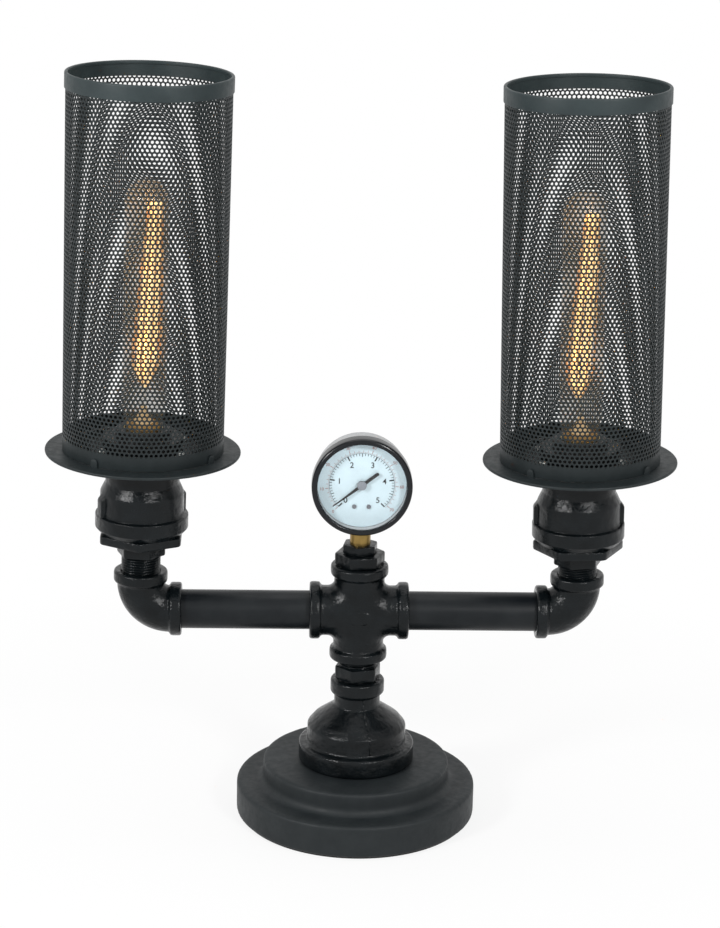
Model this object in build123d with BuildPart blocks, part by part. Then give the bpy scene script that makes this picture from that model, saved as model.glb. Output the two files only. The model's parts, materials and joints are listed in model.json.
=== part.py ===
"""Industrial pipe table lamp with two upright perforated shades and a pressure gauge.

Millimetres, +Z up, origin at the centre of the face that the lamp stands on.
-Y is the front, the side that the gauge looks to. The two lamp columns hold the same pieces;
each leans in a little from its elbow, and the left one is screwed in less deep.
"""

import os
from math import asin, atan2, cos, degrees, hypot, radians, sin

from build123d import *

# ---------------------------------------------------------------- base
base_radius = 83.0
base_step_radius = 64.5
base_step_height = 22.5         # lower tier, above the pad
base_top_height = 15.5          # upper tier
base_step_blend = 5.0           # hollow round at the foot of the upper tier
base_edge_round = 1.6
base_top_round = 1.2
cut_over = 1.0                  # how far a cut runs on past a face
hole_play = 0.2                 # round a screw, a flange or a collar in its hole
screw_fit = 0.1
pad_inner_radius = 64.0
pad_outer_radius = 80.0
pad_thickness = 1.5
cover_radius = 60.0
cover_thickness = 2.0
cover_gap = 0.3
pocket_radius = 50.0
pocket_depth = 14.5             # above the cover
wire_way_radius = 8.0
cover_screw_count = 4
cover_screw_radius = 2.0
cover_screw_head_radius = 3.6
cover_screw_head_height = 1.2
cover_screw_length = 9.0
spigot_height = 12.0
spigot_screw_count = 3
spigot_screw_circle = 18.0
spigot_screw_radius = 2.5
spigot_screw_head_radius = 4.5
spigot_screw_head_height = 4.0
spigot_screw_bite = 9.0
grommet_height = 9.5            # of its centre, above the pad
grommet_radius = 5.0
grommet_flange_radius = 7.2
grommet_flange_thickness = 2.0
grommet_bore_radius = 3.2
grommet_inset = 0.6
terminal_width = 20.0
terminal_depth = 12.0
terminal_height = 10.0
terminal_setback = 20.0
terminal_corner = 1.0
terminal_hole_radius = 1.4
terminal_hole_depth = 2.0

# ---------------------------------------------------------------- pipe and its fittings
pipe_radius = 13.35             # 3/4 inch pipe
pipe_wall = 2.9
thread_fit = 0.05               # between a made-up thread and its port
port_depth = 14.0
port_engagement = 13.0
cast_wall = 3.0
thread_runout = 1.0
band_round = 0.9
band_foot = 0.4                 # height in which a band's edge runs down to the body
hex_edge = 0.6
cast_bore_radius = 11.5

reducer_band_radius = 40.0
reducer_band_height = 13.5
reducer_body_radius = 34.2
reducer_body_top = 26.0
reducer_shoulder_in = 4.2
reducer_shoulder_rise = 5.0
reducer_neck_radius = 15.9
reducer_neck_height = 19.0      # from the shoulder to the top face
reducer_top_band_radius = 18.6
reducer_top_band_height = 10.0
reducer_height = 60.0
reducer_port_radius = 29.8
reducer_port_depth = 15.0

stem_hex_flats = 28.5
stem_hex_height = 9.0
stem_hex_turn = 15.0
stem_thread_show_below = 1.0
stem_thread_show_above = 5.5

cross_reach = 34.0
cross_band_radius = 19.8
cross_band_width = 7.5
cross_body_radius = 17.3
cross_blend_inset = 0.3         # of the rounds between two arms, below the arms' surface
cross_crotch_radius = 5.5       # hollow of such a round
cross_mark_length = 18.0
cross_mark_width = 9.0
cross_mark_height = 0.5

pipe_show = 87.5                # arm pipe between the cross and the elbow
elbow_reach = 28.5
elbow_band_radius = 18.4
elbow_band_width = 8.0
elbow_body_radius = 16.0

column_lean = 1.3               # of each column, in degrees, towards the stem
nipple_thread_show = {"left": 11.5, "right": 7.5}
nipple_hex_flats = 29.5
nipple_hex_height = 7.5
nipple_hex_turn = 10.0

bushing_hex_flats = 54.5
bushing_hex_height = 6.5
bushing_thread_radius = 24.1    # 1 1/2 inch male thread
bushing_turn = {"left": 30.0, "right": 0.0}

coupling_band_radius = 31.5
coupling_band_height = 16.0
coupling_band_bevel = 3.0
coupling_body_radius = 28.2
coupling_shoulder_bottom = 31.0
coupling_shoulder_in = 0.9
coupling_shoulder_rise = 2.6
coupling_neck_flare = 0.4
coupling_neck_flare_drop = 1.6
coupling_neck_radius = 24.9
coupling_neck_height = 20.0     # from the shoulder to the top face
coupling_top_band_radius = 27.3
coupling_top_band_height = 10.0
coupling_height = 58.5
coupling_rib_width = 9.0
coupling_rib_root = 1.0
coupling_rib_setback = 0.2
coupling_rib_turn = {"left": 10.0, "right": 0.0}
collar_thread_radius = 20.9     # 1 1/4 inch male thread

# ---------------------------------------------------------------- gauge bushings
large_hex_flats = 30.5
large_hex_height = 8.0
large_hex_turn = 8.0
large_thread_radius = 13.2
small_hex_flats = 22.0
small_hex_height = 6.0
small_hex_turn = 20.0
small_thread_radius = 10.4
small_thread_length = 12.0
stem_thread_radius = 6.5
stem_thread_length = 15.0
bushing_lift = 0.4              # faces that bottom out just short of the port

# ---------------------------------------------------------------- lamp holder and shade
plate_radius = 65.7
plate_thickness = 2.0
tab_count = 4
tab_turn = {"left": 57.5, "right": 47.5}        # first tab, from +X towards +Y
tab_width = 5.0
tab_height = 5.5
tab_thickness = 1.2
collar_flange_radius = 37.0
collar_flange_thickness = 2.0
collar_bore_radius = 19.0
collar_depth = 15.0
plate_screw_spacing_x = 53.0
plate_screw_spacing_y = 34.0
plate_screw_radius = 1.5
plate_screw_head_radius = 2.9
plate_screw_head_height = 1.7
plate_screw_head_round = 0.9
plate_screw_tail = 1.0          # beyond its nut
plate_nut_radius = 3.0
plate_nut_height = 2.4
holder_radius = 18.8
holder_flange_radius = 23.0
holder_flange_thickness = 2.0
holder_mouth_radius = 13.6      # E27 screw mouth
holder_mouth_height = 15.0      # of its rim, above the plate
holder_floor_drop = 11.0        # of its contact, below the plate's top
holder_tail = 14.0
holder_tail_bevel = 6.0
holder_rim_bevel = 1.0
holder_well = 1.2               # round the contact
holder_contact_radius = 4.0
ring_radius = 27.0
ring_height = 5.0
ring_notch_count = 8
ring_notch_radius = 1.6

shade_radius = 54.1
shade_wall = 0.8
shade_ring_radius = 54.9
shade_ring_inner = 52.6
shade_ring_play = 0.15          # between the ring and the sheet inside it
shade_ring_height = 10.5
shade_height = 253.0            # from the plate to the top of the rolled lip
shade_lip = 1.0
shade_lip_gap = 0.4
shade_ring_edge = 0.4
shade_rest_gap = 0.3
shade_hole_columns = 12         # round the sheet, a multiple of four
shade_hole_rows = 12
shade_hole_radius = 7.7
shade_foot_band = 9.0           # without holes
shade_head_band = 2.0           # without holes, below the ring
tab_grip_gap = 0.3

# ---------------------------------------------------------------- bulb
bulb_radius = 15.0
bulb_length = 195.0
bulb_neck_radius = 12.3
bulb_wall = 0.8
bulb_taper = 14.0
cap_radius = 13.2               # E27 cap
cap_height = 26.0
cap_wall = 0.5
cap_contact_radius = 5.0
cap_contact_height = 1.5
cap_insulator_in = 2.5
cap_insulator_top = 5.0
cap_shell_bottom = 7.0
cap_floor = 8.0
glass_overlap = 5.0             # inside the cap
cap_seat_gap = 0.3
mount_flare_radius = 11.0
mount_flare_thickness = 1.2
mount_waist_radius = 3.8
mount_waist_height = 7.0
mount_stem_bottom = 12.0
mount_stem_radius = 2.3
mount_height = 34.0
mount_hook_height = 158.0
mount_rod_radius = 0.5
mount_rod_taper = 2.0
filament_radius = 0.45
filament_spread_bottom = 8.5
filament_spread_top = 4.5
filament_strands = 6
filament_foot_gap = 3.0         # above the glass stem
filament_head_gap = 4.0         # below the hook's tip
filament_ring_play = 0.1

# ---------------------------------------------------------------- gauge
gauge_height = 60.0             # dial centre above the cross's top face
gauge_case_radius = 31.5
gauge_case_wall = 1.2
gauge_case_bevel = 1.5
gauge_case_back = 9.0           # behind the stem's axis
gauge_case_front = 15.3         # before the stem's axis
bezel_radius = 34.0
bezel_opening_radius = 29.9
bezel_back = 8.5
bezel_front = 19.5
bezel_fit = 0.1
bezel_edge = 1.2
bezel_roll_height = 3.4
bezel_roll_in = 0.9
bezel_crown_in = 2.2
bezel_lip_in = 0.8
bezel_lip_drop = 0.3
bezel_mouth_drop = 1.0
lens_thickness = 2.0
lens_gap = 0.2
dial_radius = 30.0
dial_thickness = 0.8
dial_depth = 10.0               # of its back face, before the stem's axis
dial_hole_radius = 1.6
dial_screw_spacing = 9.8
dial_screw_drop = 15.5
dial_screw_radius = 0.9
dial_screw_head_radius = 1.5
dial_screw_head_height = 0.8
dial_screw_bite = 3.0
stem_radius = 7.1
stem_flats = 14.0
stem_case_entry = 2.0
stem_hole_depth = 5.0
socket_half_width = 8.0
socket_top = -23.6              # from the dial centre
socket_shoulder_top = -18.0
socket_half_depth = 3.2
socket_tube_side = 2.0          # extra width on the side that the tube comes from
socket_corner = -28.0
socket_foot = -31.5
socket_foot_half_width = 4.5
tube_path_radius = 22.0
tube_thickness = 3.0
tube_width = 6.0
tube_wall = 0.4
tube_corner = 1.4
tube_grip = 1.4                 # that the socket reaches past the tube's end
tube_grip_angle = 30.0
tube_start_inset = 6.0
tip_length = 6.0
tip_gap = 0.3
tip_pin_rise = 2.0              # of the link's end, from the tip's lower end
movement_plate_half_width = 9.0
movement_plate_top = 5.0
movement_plate_bottom = -27.0
movement_plate_thickness = 1.0
movement_plate_corner = 2.0
movement_pillar_radius = 1.5
movement_pillar_height = 2.5
movement_pillar_offset = 7.3
gear_module = 0.3
pinion_teeth = 12
sector_teeth = 96               # of the whole circle that the sector is cut from
tooth_share = 0.40              # of the pitch, at the pitch circle
tooth_root_share = 1.35         # of that width, at the root
tooth_tip_share = 0.5
tooth_root_depth = 1.3          # in modules
tooth_tip_height = 0.85         # in modules
pinion_width = 2.0
sector_thickness = 0.8
sector_first_angle = 50.0
sector_last_angle = 97.0
sector_hub_radius = 2.2
sector_tail = 5.0
sector_tail_angle = -106.4
sector_neck_half_width = 1.6
sector_eye_radius = 1.2
sector_end_float = 0.1
arbor_radius = 1.0
spindle_radius = 0.8
bearing_fit = 0.05
link_pin_radius = 0.6
link_pin_play = 0.3
link_half_width = 1.3
link_thickness = 0.8
link_standoff = 1.8
link_eye_wall = 0.7
link_pin_tail = 0.3
pointer_rest_angle = 52.3       # clockwise from straight down
pointer_length = 24.5
pointer_tail = 13.0
pointer_width = 2.2
pointer_tip_width = 0.5
pointer_thickness = 0.6
pointer_hub_radius = 3.2
pointer_hub_height = 1.2
pointer_gap = 1.6               # before the dial's face

# ---------------------------------------------------------------- wiring
lead_radius = 2.0
lead_bend = 10.0
lead_spacing = 8.0
lead_floor = 8.0                # above the pad
lead_end_gap = 0.3

# ---------------------------------------------------------------- places that follow
base_bottom = pad_thickness
base_step = base_bottom + base_step_height
base_top = base_step + base_top_height
pocket_floor = base_bottom + cover_thickness
pocket_roof = pocket_floor + pocket_depth
reducer_top = base_top + reducer_height
stem_hex_bottom = reducer_top + stem_thread_show_below
stem_hex_top = stem_hex_bottom + stem_hex_height
cross_bottom = stem_hex_top + stem_thread_show_above
arm_height = cross_bottom + cross_reach
cross_top = arm_height + cross_reach
column_reach = cross_reach + pipe_show + elbow_reach
gauge_centre = cross_top + gauge_height
large_hex_bottom = cross_top + bushing_lift
large_hex_top = large_hex_bottom + large_hex_height
small_hex_bottom = large_hex_top + bushing_lift
small_hex_top = small_hex_bottom + small_hex_height
pipe_bore_radius = pipe_radius - pipe_wall
port_radius = pipe_radius + thread_fit

os.makedirs("parts", exist_ok=True)


def finish(part, name):
    """Label a finished piece and write it."""
    part.label = name
    export_step(part, f"parts/{name}.step")


class Column:
    """Where one lamp column's pieces stand before it leans about its elbow's corner."""

    def __init__(self, side, direction):
        self.side = side
        self.direction = direction
        self.x = direction * column_reach
        self.elbow_top = arm_height + elbow_reach
        self.nipple_hex_bottom = self.elbow_top + nipple_thread_show[side]
        self.nipple_hex_top = self.nipple_hex_bottom + nipple_hex_height
        self.coupling_bottom = self.nipple_hex_top + bushing_hex_height
        self.coupling_top = self.coupling_bottom + coupling_height
        self.plate_top = self.coupling_top + plate_thickness
        self.holder_seat = self.plate_top + collar_flange_thickness
        self.holder_floor = self.plate_top - holder_floor_drop
        self.holder_bottom = self.holder_floor - holder_tail
        self.bulb_bottom = self.holder_floor + cap_seat_gap
        self.cap_top = self.bulb_bottom + cap_height
        self.bulb_top = self.bulb_bottom + bulb_length

    def up(self, distance):
        """The point that far up the leaning axis from the elbow's corner."""
        lean = radians(column_lean)
        return (self.x - self.direction * distance * sin(lean), 0, arm_height + distance * cos(lean))

    def finish(self, part, name):
        """Lean a piece that was drawn upright, then label and write it."""
        corner = Axis((self.x, 0, arm_height), (0, 1, 0))
        finish(part.rotate(corner, -self.direction * column_lean), f"{name}_{self.side}")


def column_plane(x, height=0.0):
    """Upright drawing plane on a column's axis: local x is the radius, local y is up."""
    return Plane(origin=(x, 0, height), x_dir=(1, 0, 0), z_dir=(0, -1, 0))


def turned(outline, x=0.0, height=0.0, mode=Mode.ADD):
    """Revolve a closed outline of (radius, height) points about a column's axis."""
    with BuildSketch(column_plane(x, height)) as profile:
        with BuildLine():
            Polyline(*outline, close=True)
        make_face()
    revolve(profile.sketch, axis=Axis((x, 0, 0), (0, 0, 1)), mode=mode)


def tube_outline(outer, inner, bottom, top):
    """Outline of a plain ring or tube, for turned()."""
    return [(inner, bottom), (outer, bottom), (outer, top), (inner, top)]


def banded(radius, bottom, top, edge=band_round):
    """Outer points of a cast band, bottom to top, with its edges broken."""
    return [(radius - edge, bottom), (radius, bottom + edge), (radius, top - edge), (radius - edge, top)]


def hexagon(flats, height, bottom, x=0.0, turn=0.0):
    """Hexagonal wrench section with broken edges."""
    with BuildSketch(Plane(origin=(x, 0, bottom))) as profile:
        RegularPolygon(flats / 2, 6, major_radius=False, rotation=turn)
    block = extrude(profile.sketch, amount=height)
    chamfer(block.faces().filter_by(Axis.Z).edges(), length=hex_edge)


# ================================================================ base
def make_base():
    spigot_roof = base_top + spigot_height
    screw_circle = (cover_radius + pocket_radius) / 2
    cover_screw_spots = PolarLocations(screw_circle, cover_screw_count, start_angle=45)
    spigot_screw_spots = PolarLocations(spigot_screw_circle, spigot_screw_count)
    way = Plane(origin=(0, 0, base_bottom + grommet_height), x_dir=(-1, 0, 0), z_dir=(0, 1, 0))
    with BuildPart() as base_casting:
        with BuildSketch(column_plane(0)) as profile:
            with BuildLine():
                Polyline(
                    (0, base_bottom), (base_radius, base_bottom), (base_radius, base_step),
                    (base_step_radius, base_step), (base_step_radius, base_top), (0, base_top), close=True,
                )
            make_face()
            fillet(profile.vertices().group_by(Axis.X)[-1], base_edge_round)
            fillet(profile.vertices().group_by(Axis.X)[1].sort_by(Axis.Y)[0], base_step_blend)
            fillet(profile.vertices().group_by(Axis.Y)[-1].sort_by(Axis.X)[-1], base_top_round)
        revolve(axis=Axis.Z)
        turned([
            (0, base_bottom), (cover_radius + cover_gap, base_bottom),
            (cover_radius + cover_gap, pocket_floor), (pocket_radius, pocket_floor),
            (pocket_radius, pocket_roof), (wire_way_radius, pocket_roof), (wire_way_radius, base_top),
            (0, base_top),
        ], mode=Mode.SUBTRACT)
        with BuildSketch(Plane.XY.offset(pocket_roof)):
            with spigot_screw_spots:
                Circle(spigot_screw_radius + hole_play)
        extrude(amount=base_top - pocket_roof, mode=Mode.SUBTRACT)
        with BuildSketch(Plane.XY.offset(pocket_floor)):
            with cover_screw_spots:
                Circle(cover_screw_radius + screw_fit)
        extrude(amount=cover_screw_length, mode=Mode.SUBTRACT)
        with BuildSketch(way):
            Circle(grommet_radius + screw_fit)
        extrude(amount=base_radius + cut_over, mode=Mode.SUBTRACT)
        with BuildSketch(way.offset(base_radius - grommet_inset - grommet_flange_thickness)):
            Circle(grommet_flange_radius + hole_play)
        extrude(amount=grommet_flange_thickness + grommet_inset + cut_over, mode=Mode.SUBTRACT)
    finish(base_casting.part, "base_casting")

    with BuildPart() as base_pad:
        turned(tube_outline(pad_outer_radius, pad_inner_radius, 0, pad_thickness))
    finish(base_pad.part, "base_pad")

    with BuildPart() as base_cover:
        with BuildSketch(Plane.XY.offset(base_bottom)):
            Circle(cover_radius)
            with cover_screw_spots:
                Circle(cover_screw_radius + hole_play, mode=Mode.SUBTRACT)
        extrude(amount=cover_thickness)
        with BuildSketch(Plane.XY.offset(base_bottom)):
            with cover_screw_spots:
                Circle(cover_screw_head_radius + hole_play)
        extrude(amount=cover_screw_head_height, mode=Mode.SUBTRACT)
    finish(base_cover.part, "base_cover")

    with BuildPart() as cover_screws:
        with BuildSketch(Plane.XY.offset(base_bottom)):
            with cover_screw_spots:
                Circle(cover_screw_head_radius)
        extrude(amount=cover_screw_head_height)
        with BuildSketch(Plane.XY.offset(base_bottom + cover_screw_head_height)):
            with cover_screw_spots:
                Circle(cover_screw_radius)
        extrude(amount=cover_screw_length - cover_screw_head_height)
    finish(cover_screws.part, "cover_screws")

    with BuildPart() as base_spigot:
        turned(tube_outline(reducer_port_radius - thread_fit, wire_way_radius, base_top, spigot_roof))
        with BuildSketch(Plane.XY.offset(base_top)):
            with spigot_screw_spots:
                Circle(spigot_screw_radius + thread_fit)
        extrude(amount=spigot_height, mode=Mode.SUBTRACT)
    finish(base_spigot.part, "base_spigot")

    with BuildPart() as spigot_screws:
        with BuildSketch(Plane.XY.offset(pocket_roof)):
            with spigot_screw_spots:
                Circle(spigot_screw_head_radius)
        extrude(amount=-spigot_screw_head_height)
        with BuildSketch(Plane.XY.offset(pocket_roof)):
            with spigot_screw_spots:
                Circle(spigot_screw_radius)
        extrude(amount=base_top - pocket_roof + spigot_screw_bite)
    finish(spigot_screws.part, "spigot_screws")

    flange_back = base_radius - grommet_inset - grommet_flange_thickness
    with BuildPart() as cable_grommet:
        with BuildSketch(way.offset(flange_back)):
            Circle(grommet_flange_radius)
        extrude(amount=grommet_flange_thickness)
        with BuildSketch(way.offset(pocket_radius)):
            Circle(grommet_radius)
        extrude(amount=flange_back - pocket_radius)
        with BuildSketch(way.offset(pocket_radius)):
            Circle(grommet_bore_radius)
        extrude(amount=base_radius - pocket_radius, mode=Mode.SUBTRACT)
    finish(cable_grommet.part, "cable_grommet")

    terminal_plane = Plane(origin=(0, terminal_setback, pocket_floor))
    with BuildPart() as terminal_block:
        with BuildSketch(terminal_plane):
            RectangleRounded(terminal_width, terminal_depth, terminal_corner)
        extrude(amount=terminal_height)
        with BuildSketch(terminal_plane.offset(terminal_height)):
            with GridLocations(lead_spacing, terminal_depth / 2, 2, 2):
                Circle(terminal_hole_radius)
        extrude(amount=-terminal_hole_depth, mode=Mode.SUBTRACT)
    finish(terminal_block.part, "terminal_block")


# ================================================================ stem and cross
def make_stem():
    lower, upper = reducer_band_height, reducer_height - reducer_top_band_height
    shoulder = reducer_height - reducer_neck_height
    with BuildPart() as base_reducer:
        turned([
            (reducer_port_radius, 0), *banded(reducer_band_radius, 0, lower),
            (reducer_body_radius, lower + band_foot), (reducer_body_radius, reducer_body_top),
            (reducer_body_radius - reducer_shoulder_in, reducer_body_top + reducer_shoulder_rise),
            (reducer_neck_radius, shoulder), (reducer_neck_radius, upper),
            *banded(reducer_top_band_radius, upper, reducer_height),
            (port_radius, reducer_height), (port_radius, reducer_height - port_depth),
            (cast_bore_radius, reducer_height - port_depth - thread_runout),
            (cast_bore_radius, shoulder - cast_wall),
            (reducer_port_radius - thread_runout, reducer_body_top),
            (reducer_port_radius - thread_runout, reducer_port_depth),
            (reducer_port_radius, reducer_port_depth - thread_runout),
        ], height=base_top)
    finish(base_reducer.part, "base_reducer")

    with BuildPart() as stem_nipple:
        hexagon(stem_hex_flats, stem_hex_height, stem_hex_bottom, turn=stem_hex_turn)
        turned(tube_outline(pipe_radius, 0, reducer_top - port_engagement, cross_bottom + port_engagement))
        turned(tube_outline(pipe_bore_radius, 0, 0, arm_height), mode=Mode.SUBTRACT)
    finish(stem_nipple.part, "stem_nipple")

    upright = Plane(origin=(0, 0, arm_height))
    level = Plane(upright.origin, x_dir=(0, 1, 0), z_dir=(1, 0, 0))
    blend_radius = cross_body_radius - cross_blend_inset
    bend = blend_radius + cross_crotch_radius
    with BuildPart() as cross_fitting:
        for plane in (level, upright):
            with BuildSketch(plane):
                Circle(cross_body_radius)
            extrude(amount=cross_reach - cross_band_width / 2, both=True)
            for flip in (1, -1):
                face = Plane(plane.origin, x_dir=plane.x_dir, z_dir=plane.z_dir * flip)
                with BuildSketch(face.offset(cross_reach - cross_band_width)):
                    Circle(cross_band_radius)
                band = extrude(amount=cross_band_width)
                chamfer(band.edges().filter_by(GeomType.CIRCLE), length=band_round)
        for flip_x, flip_z in ((1, 1), (-1, 1), (-1, -1), (1, -1)):
            with BuildLine() as path:
                TangentArc((flip_x * bend, 0, arm_height), (0, 0, arm_height + flip_z * bend),
                           tangent=(-flip_x, 0, 0))
            with BuildSketch(level.offset(flip_x * bend)):
                Circle(blend_radius)
            sweep(path=path.line)
        with BuildSketch(column_plane(0, arm_height).offset(cross_body_radius - cast_wall)):
            Ellipse(cross_mark_length / 2, cross_mark_width / 2)
        extrude(amount=cast_wall + cross_mark_height)
        for plane in (level, upright):
            with BuildSketch(plane):
                Circle(cast_bore_radius)
            extrude(amount=cross_reach, both=True, mode=Mode.SUBTRACT)
            for flip in (1, -1):
                face = Plane(plane.origin, x_dir=plane.x_dir, z_dir=plane.z_dir * flip)
                with BuildSketch(face.offset(cross_reach - port_depth)):
                    Circle(port_radius)
                extrude(amount=port_depth, mode=Mode.SUBTRACT)
    finish(cross_fitting.part, "cross_fitting")


# ================================================================ arms
def make_arm(column):
    direction, x = column.direction, column.x
    cross_face = direction * cross_reach
    elbow_face = x - direction * elbow_reach
    with BuildPart() as arm_pipe:
        start = cross_face - direction * port_engagement
        with BuildSketch(Plane(origin=(start, 0, arm_height), x_dir=(0, 1, 0), z_dir=(direction, 0, 0))):
            Circle(pipe_radius)
            Circle(pipe_bore_radius, mode=Mode.SUBTRACT)
        extrude(amount=pipe_show + 2 * port_engagement)
    finish(arm_pipe.part, f"arm_pipe_{column.side}")

    bend = elbow_reach - elbow_band_width
    inset = elbow_band_width / 2
    down = tuple(a - b for a, b in zip(column.up(0), column.up(1)))
    side_face = Plane(origin=(elbow_face, 0, arm_height), x_dir=(0, 1, 0), z_dir=(direction, 0, 0))
    top_face = Plane(origin=column.up(elbow_reach), x_dir=(0, 1, 0), z_dir=down)
    with BuildPart() as elbow:
        with BuildLine() as path:
            run_in = Line((elbow_face + direction * inset, 0, arm_height),
                          (x - direction * bend, 0, arm_height))
            turn = TangentArc(run_in @ 1, column.up(bend), tangent=run_in % 1)
            Line(turn @ 1, column.up(elbow_reach - inset))
        with BuildSketch(side_face.offset(inset)):
            Circle(elbow_body_radius)
        sweep(path=path.line)
        for face in (side_face, top_face):
            with BuildSketch(face):
                Circle(elbow_band_radius)
            band = extrude(amount=elbow_band_width)
            chamfer(band.edges().filter_by(GeomType.CIRCLE), length=band_round)
        with BuildSketch(side_face.offset(inset)):
            Circle(cast_bore_radius)
        sweep(path=path.line, mode=Mode.SUBTRACT)
        for face in (side_face, top_face):
            with BuildSketch(face):
                Circle(port_radius)
            extrude(amount=port_depth, mode=Mode.SUBTRACT)
    finish(elbow.part, f"elbow_{column.side}")


# ================================================================ lamp column
def make_column(column):
    side, direction, x = column.side, column.direction, column.x
    coupling_top, plate_top = column.coupling_top, column.plate_top
    with BuildPart() as hex_nipple:
        hexagon(nipple_hex_flats, nipple_hex_height, column.nipple_hex_bottom, x, nipple_hex_turn * direction)
        turned(tube_outline(pipe_radius, 0, column.elbow_top - port_engagement,
                            column.nipple_hex_top + port_engagement), x)
        with BuildSketch(Plane(origin=(x, 0, arm_height))):
            Circle(pipe_bore_radius)
        extrude(amount=coupling_top - arm_height, mode=Mode.SUBTRACT)
    column.finish(hex_nipple.part, "hex_nipple")

    with BuildPart() as socket_bushing:
        hexagon(bushing_hex_flats, bushing_hex_height, column.nipple_hex_top, x, bushing_turn[side])
        turned(tube_outline(bushing_thread_radius, 0, column.coupling_bottom - bushing_hex_height / 2,
                            column.coupling_bottom + port_engagement), x)
        with BuildSketch(Plane(origin=(x, 0, column.nipple_hex_top))):
            Circle(port_radius)
        extrude(amount=bushing_hex_height + port_engagement, mode=Mode.SUBTRACT)
    column.finish(socket_bushing.part, "socket_bushing")

    port = bushing_thread_radius + thread_fit
    top_port = collar_thread_radius + thread_fit
    bevel = coupling_band_bevel
    top_band = coupling_height - coupling_top_band_height
    shoulder = coupling_height - coupling_neck_height
    rib_plane = Plane(origin=(x, 0, column.coupling_bottom + bevel)).rotated((0, 0, coupling_rib_turn[side]))
    with BuildPart() as socket_coupling:
        turned([
            (port, 0), (coupling_band_radius - bevel, 0), (coupling_band_radius, bevel),
            (coupling_band_radius, coupling_band_height - band_round),
            (coupling_band_radius - band_round, coupling_band_height),
            (coupling_body_radius, coupling_band_height + band_foot),
            (coupling_body_radius, coupling_shoulder_bottom),
            (coupling_body_radius - coupling_shoulder_in, coupling_shoulder_bottom + coupling_shoulder_rise),
            (coupling_neck_radius + coupling_neck_flare, shoulder - coupling_neck_flare_drop),
            (coupling_neck_radius, shoulder), (coupling_neck_radius, top_band),
            *banded(coupling_top_band_radius, top_band, coupling_height),
            (top_port, coupling_height), (top_port, coupling_height - collar_depth - thread_runout),
            (top_port - thread_runout, coupling_height - collar_depth - 2 * thread_runout),
            (top_port - thread_runout, shoulder),
            (port - thread_runout, coupling_shoulder_bottom),
            (port - thread_runout, port_depth + 2 * thread_runout), (port, port_depth + thread_runout),
        ], x, column.coupling_bottom)
        with BuildSketch(rib_plane):
            Rectangle(2 * coupling_band_radius, coupling_rib_width)
            Circle(coupling_body_radius - coupling_rib_root, mode=Mode.SUBTRACT)
            Circle(coupling_band_radius - coupling_rib_setback, mode=Mode.INTERSECT)
        extrude(amount=coupling_shoulder_bottom - bevel)
    column.finish(socket_coupling.part, "socket_coupling")

    screw_spots = GridLocations(plate_screw_spacing_x, plate_screw_spacing_y, 2, 2)
    tab_seat = shade_radius + tab_grip_gap
    with BuildPart() as shade_plate:
        with BuildSketch(Plane(origin=(x, 0, coupling_top))):
            Circle(plate_radius)
            Circle(collar_thread_radius + hole_play, mode=Mode.SUBTRACT)
            with screw_spots:
                Circle(plate_screw_radius + screw_fit, mode=Mode.SUBTRACT)
        extrude(amount=plate_thickness)
        with BuildSketch(Plane(origin=(x, 0, plate_top))):
            with PolarLocations(tab_seat + tab_thickness / 2, tab_count, tab_turn[column.side]):
                Rectangle(2 * tab_thickness, tab_width)
            Circle(tab_seat, mode=Mode.SUBTRACT)
            Circle(tab_seat + tab_thickness, mode=Mode.INTERSECT)
        extrude(amount=tab_height)
    column.finish(shade_plate.part, "shade_plate")

    with BuildPart() as plate_collar:
        turned(tube_outline(collar_flange_radius, collar_bore_radius, plate_top,
                            plate_top + collar_flange_thickness), x)
        turned(tube_outline(collar_thread_radius, collar_bore_radius, coupling_top - collar_depth,
                            plate_top + collar_flange_thickness), x)
        with BuildSketch(Plane(origin=(x, 0, plate_top))):
            with screw_spots:
                Circle(plate_screw_radius + screw_fit)
        extrude(amount=collar_flange_thickness, mode=Mode.SUBTRACT)
    column.finish(plate_collar.part, "plate_collar")

    with BuildPart() as plate_screws:
        with BuildSketch(Plane(origin=(x, 0, plate_top + collar_flange_thickness))):
            with screw_spots:
                Circle(plate_screw_head_radius)
        heads = extrude(amount=plate_screw_head_height)
        fillet(heads.edges().group_by(Axis.Z)[-1], radius=plate_screw_head_round)
        with BuildSketch(Plane(origin=(x, 0, coupling_top - plate_nut_height - plate_screw_tail))):
            with screw_spots:
                Circle(plate_screw_radius)
        extrude(amount=plate_screw_tail + plate_nut_height + plate_thickness + collar_flange_thickness)
        with BuildSketch(Plane(origin=(x, 0, coupling_top - plate_nut_height))):
            with screw_spots:
                RegularPolygon(plate_nut_radius, 6)
        extrude(amount=plate_nut_height)
    column.finish(plate_screws.part, "plate_screws")

    seat, floor, tail = column.holder_seat, column.holder_floor, column.holder_bottom
    rim = plate_top + holder_mouth_height
    ring_bottom = seat + holder_flange_thickness
    ring_top = ring_bottom + ring_height
    with BuildPart() as lamp_holder:
        turned([
            (0, tail), (holder_radius - holder_tail_bevel, tail), (holder_radius, tail + holder_tail_bevel),
            (holder_radius, seat), (holder_flange_radius, seat), (holder_flange_radius, ring_bottom),
            (holder_radius, ring_bottom), (holder_radius, rim - holder_rim_bevel),
            (holder_radius - holder_rim_bevel, rim), (holder_mouth_radius, rim),
            (holder_mouth_radius, floor - holder_well), (holder_contact_radius, floor - holder_well),
            (holder_contact_radius, floor), (0, floor),
        ], x)
    column.finish(lamp_holder.part, "lamp_holder")

    with BuildPart() as holder_ring:
        turned(tube_outline(ring_radius, holder_radius + thread_fit, ring_bottom, ring_top), x)
        with BuildSketch(Plane(origin=(x, 0, ring_bottom))):
            with PolarLocations(ring_radius, ring_notch_count):
                Circle(ring_notch_radius)
        extrude(amount=ring_height, mode=Mode.SUBTRACT)
    column.finish(holder_ring.part, "holder_ring")


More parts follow.
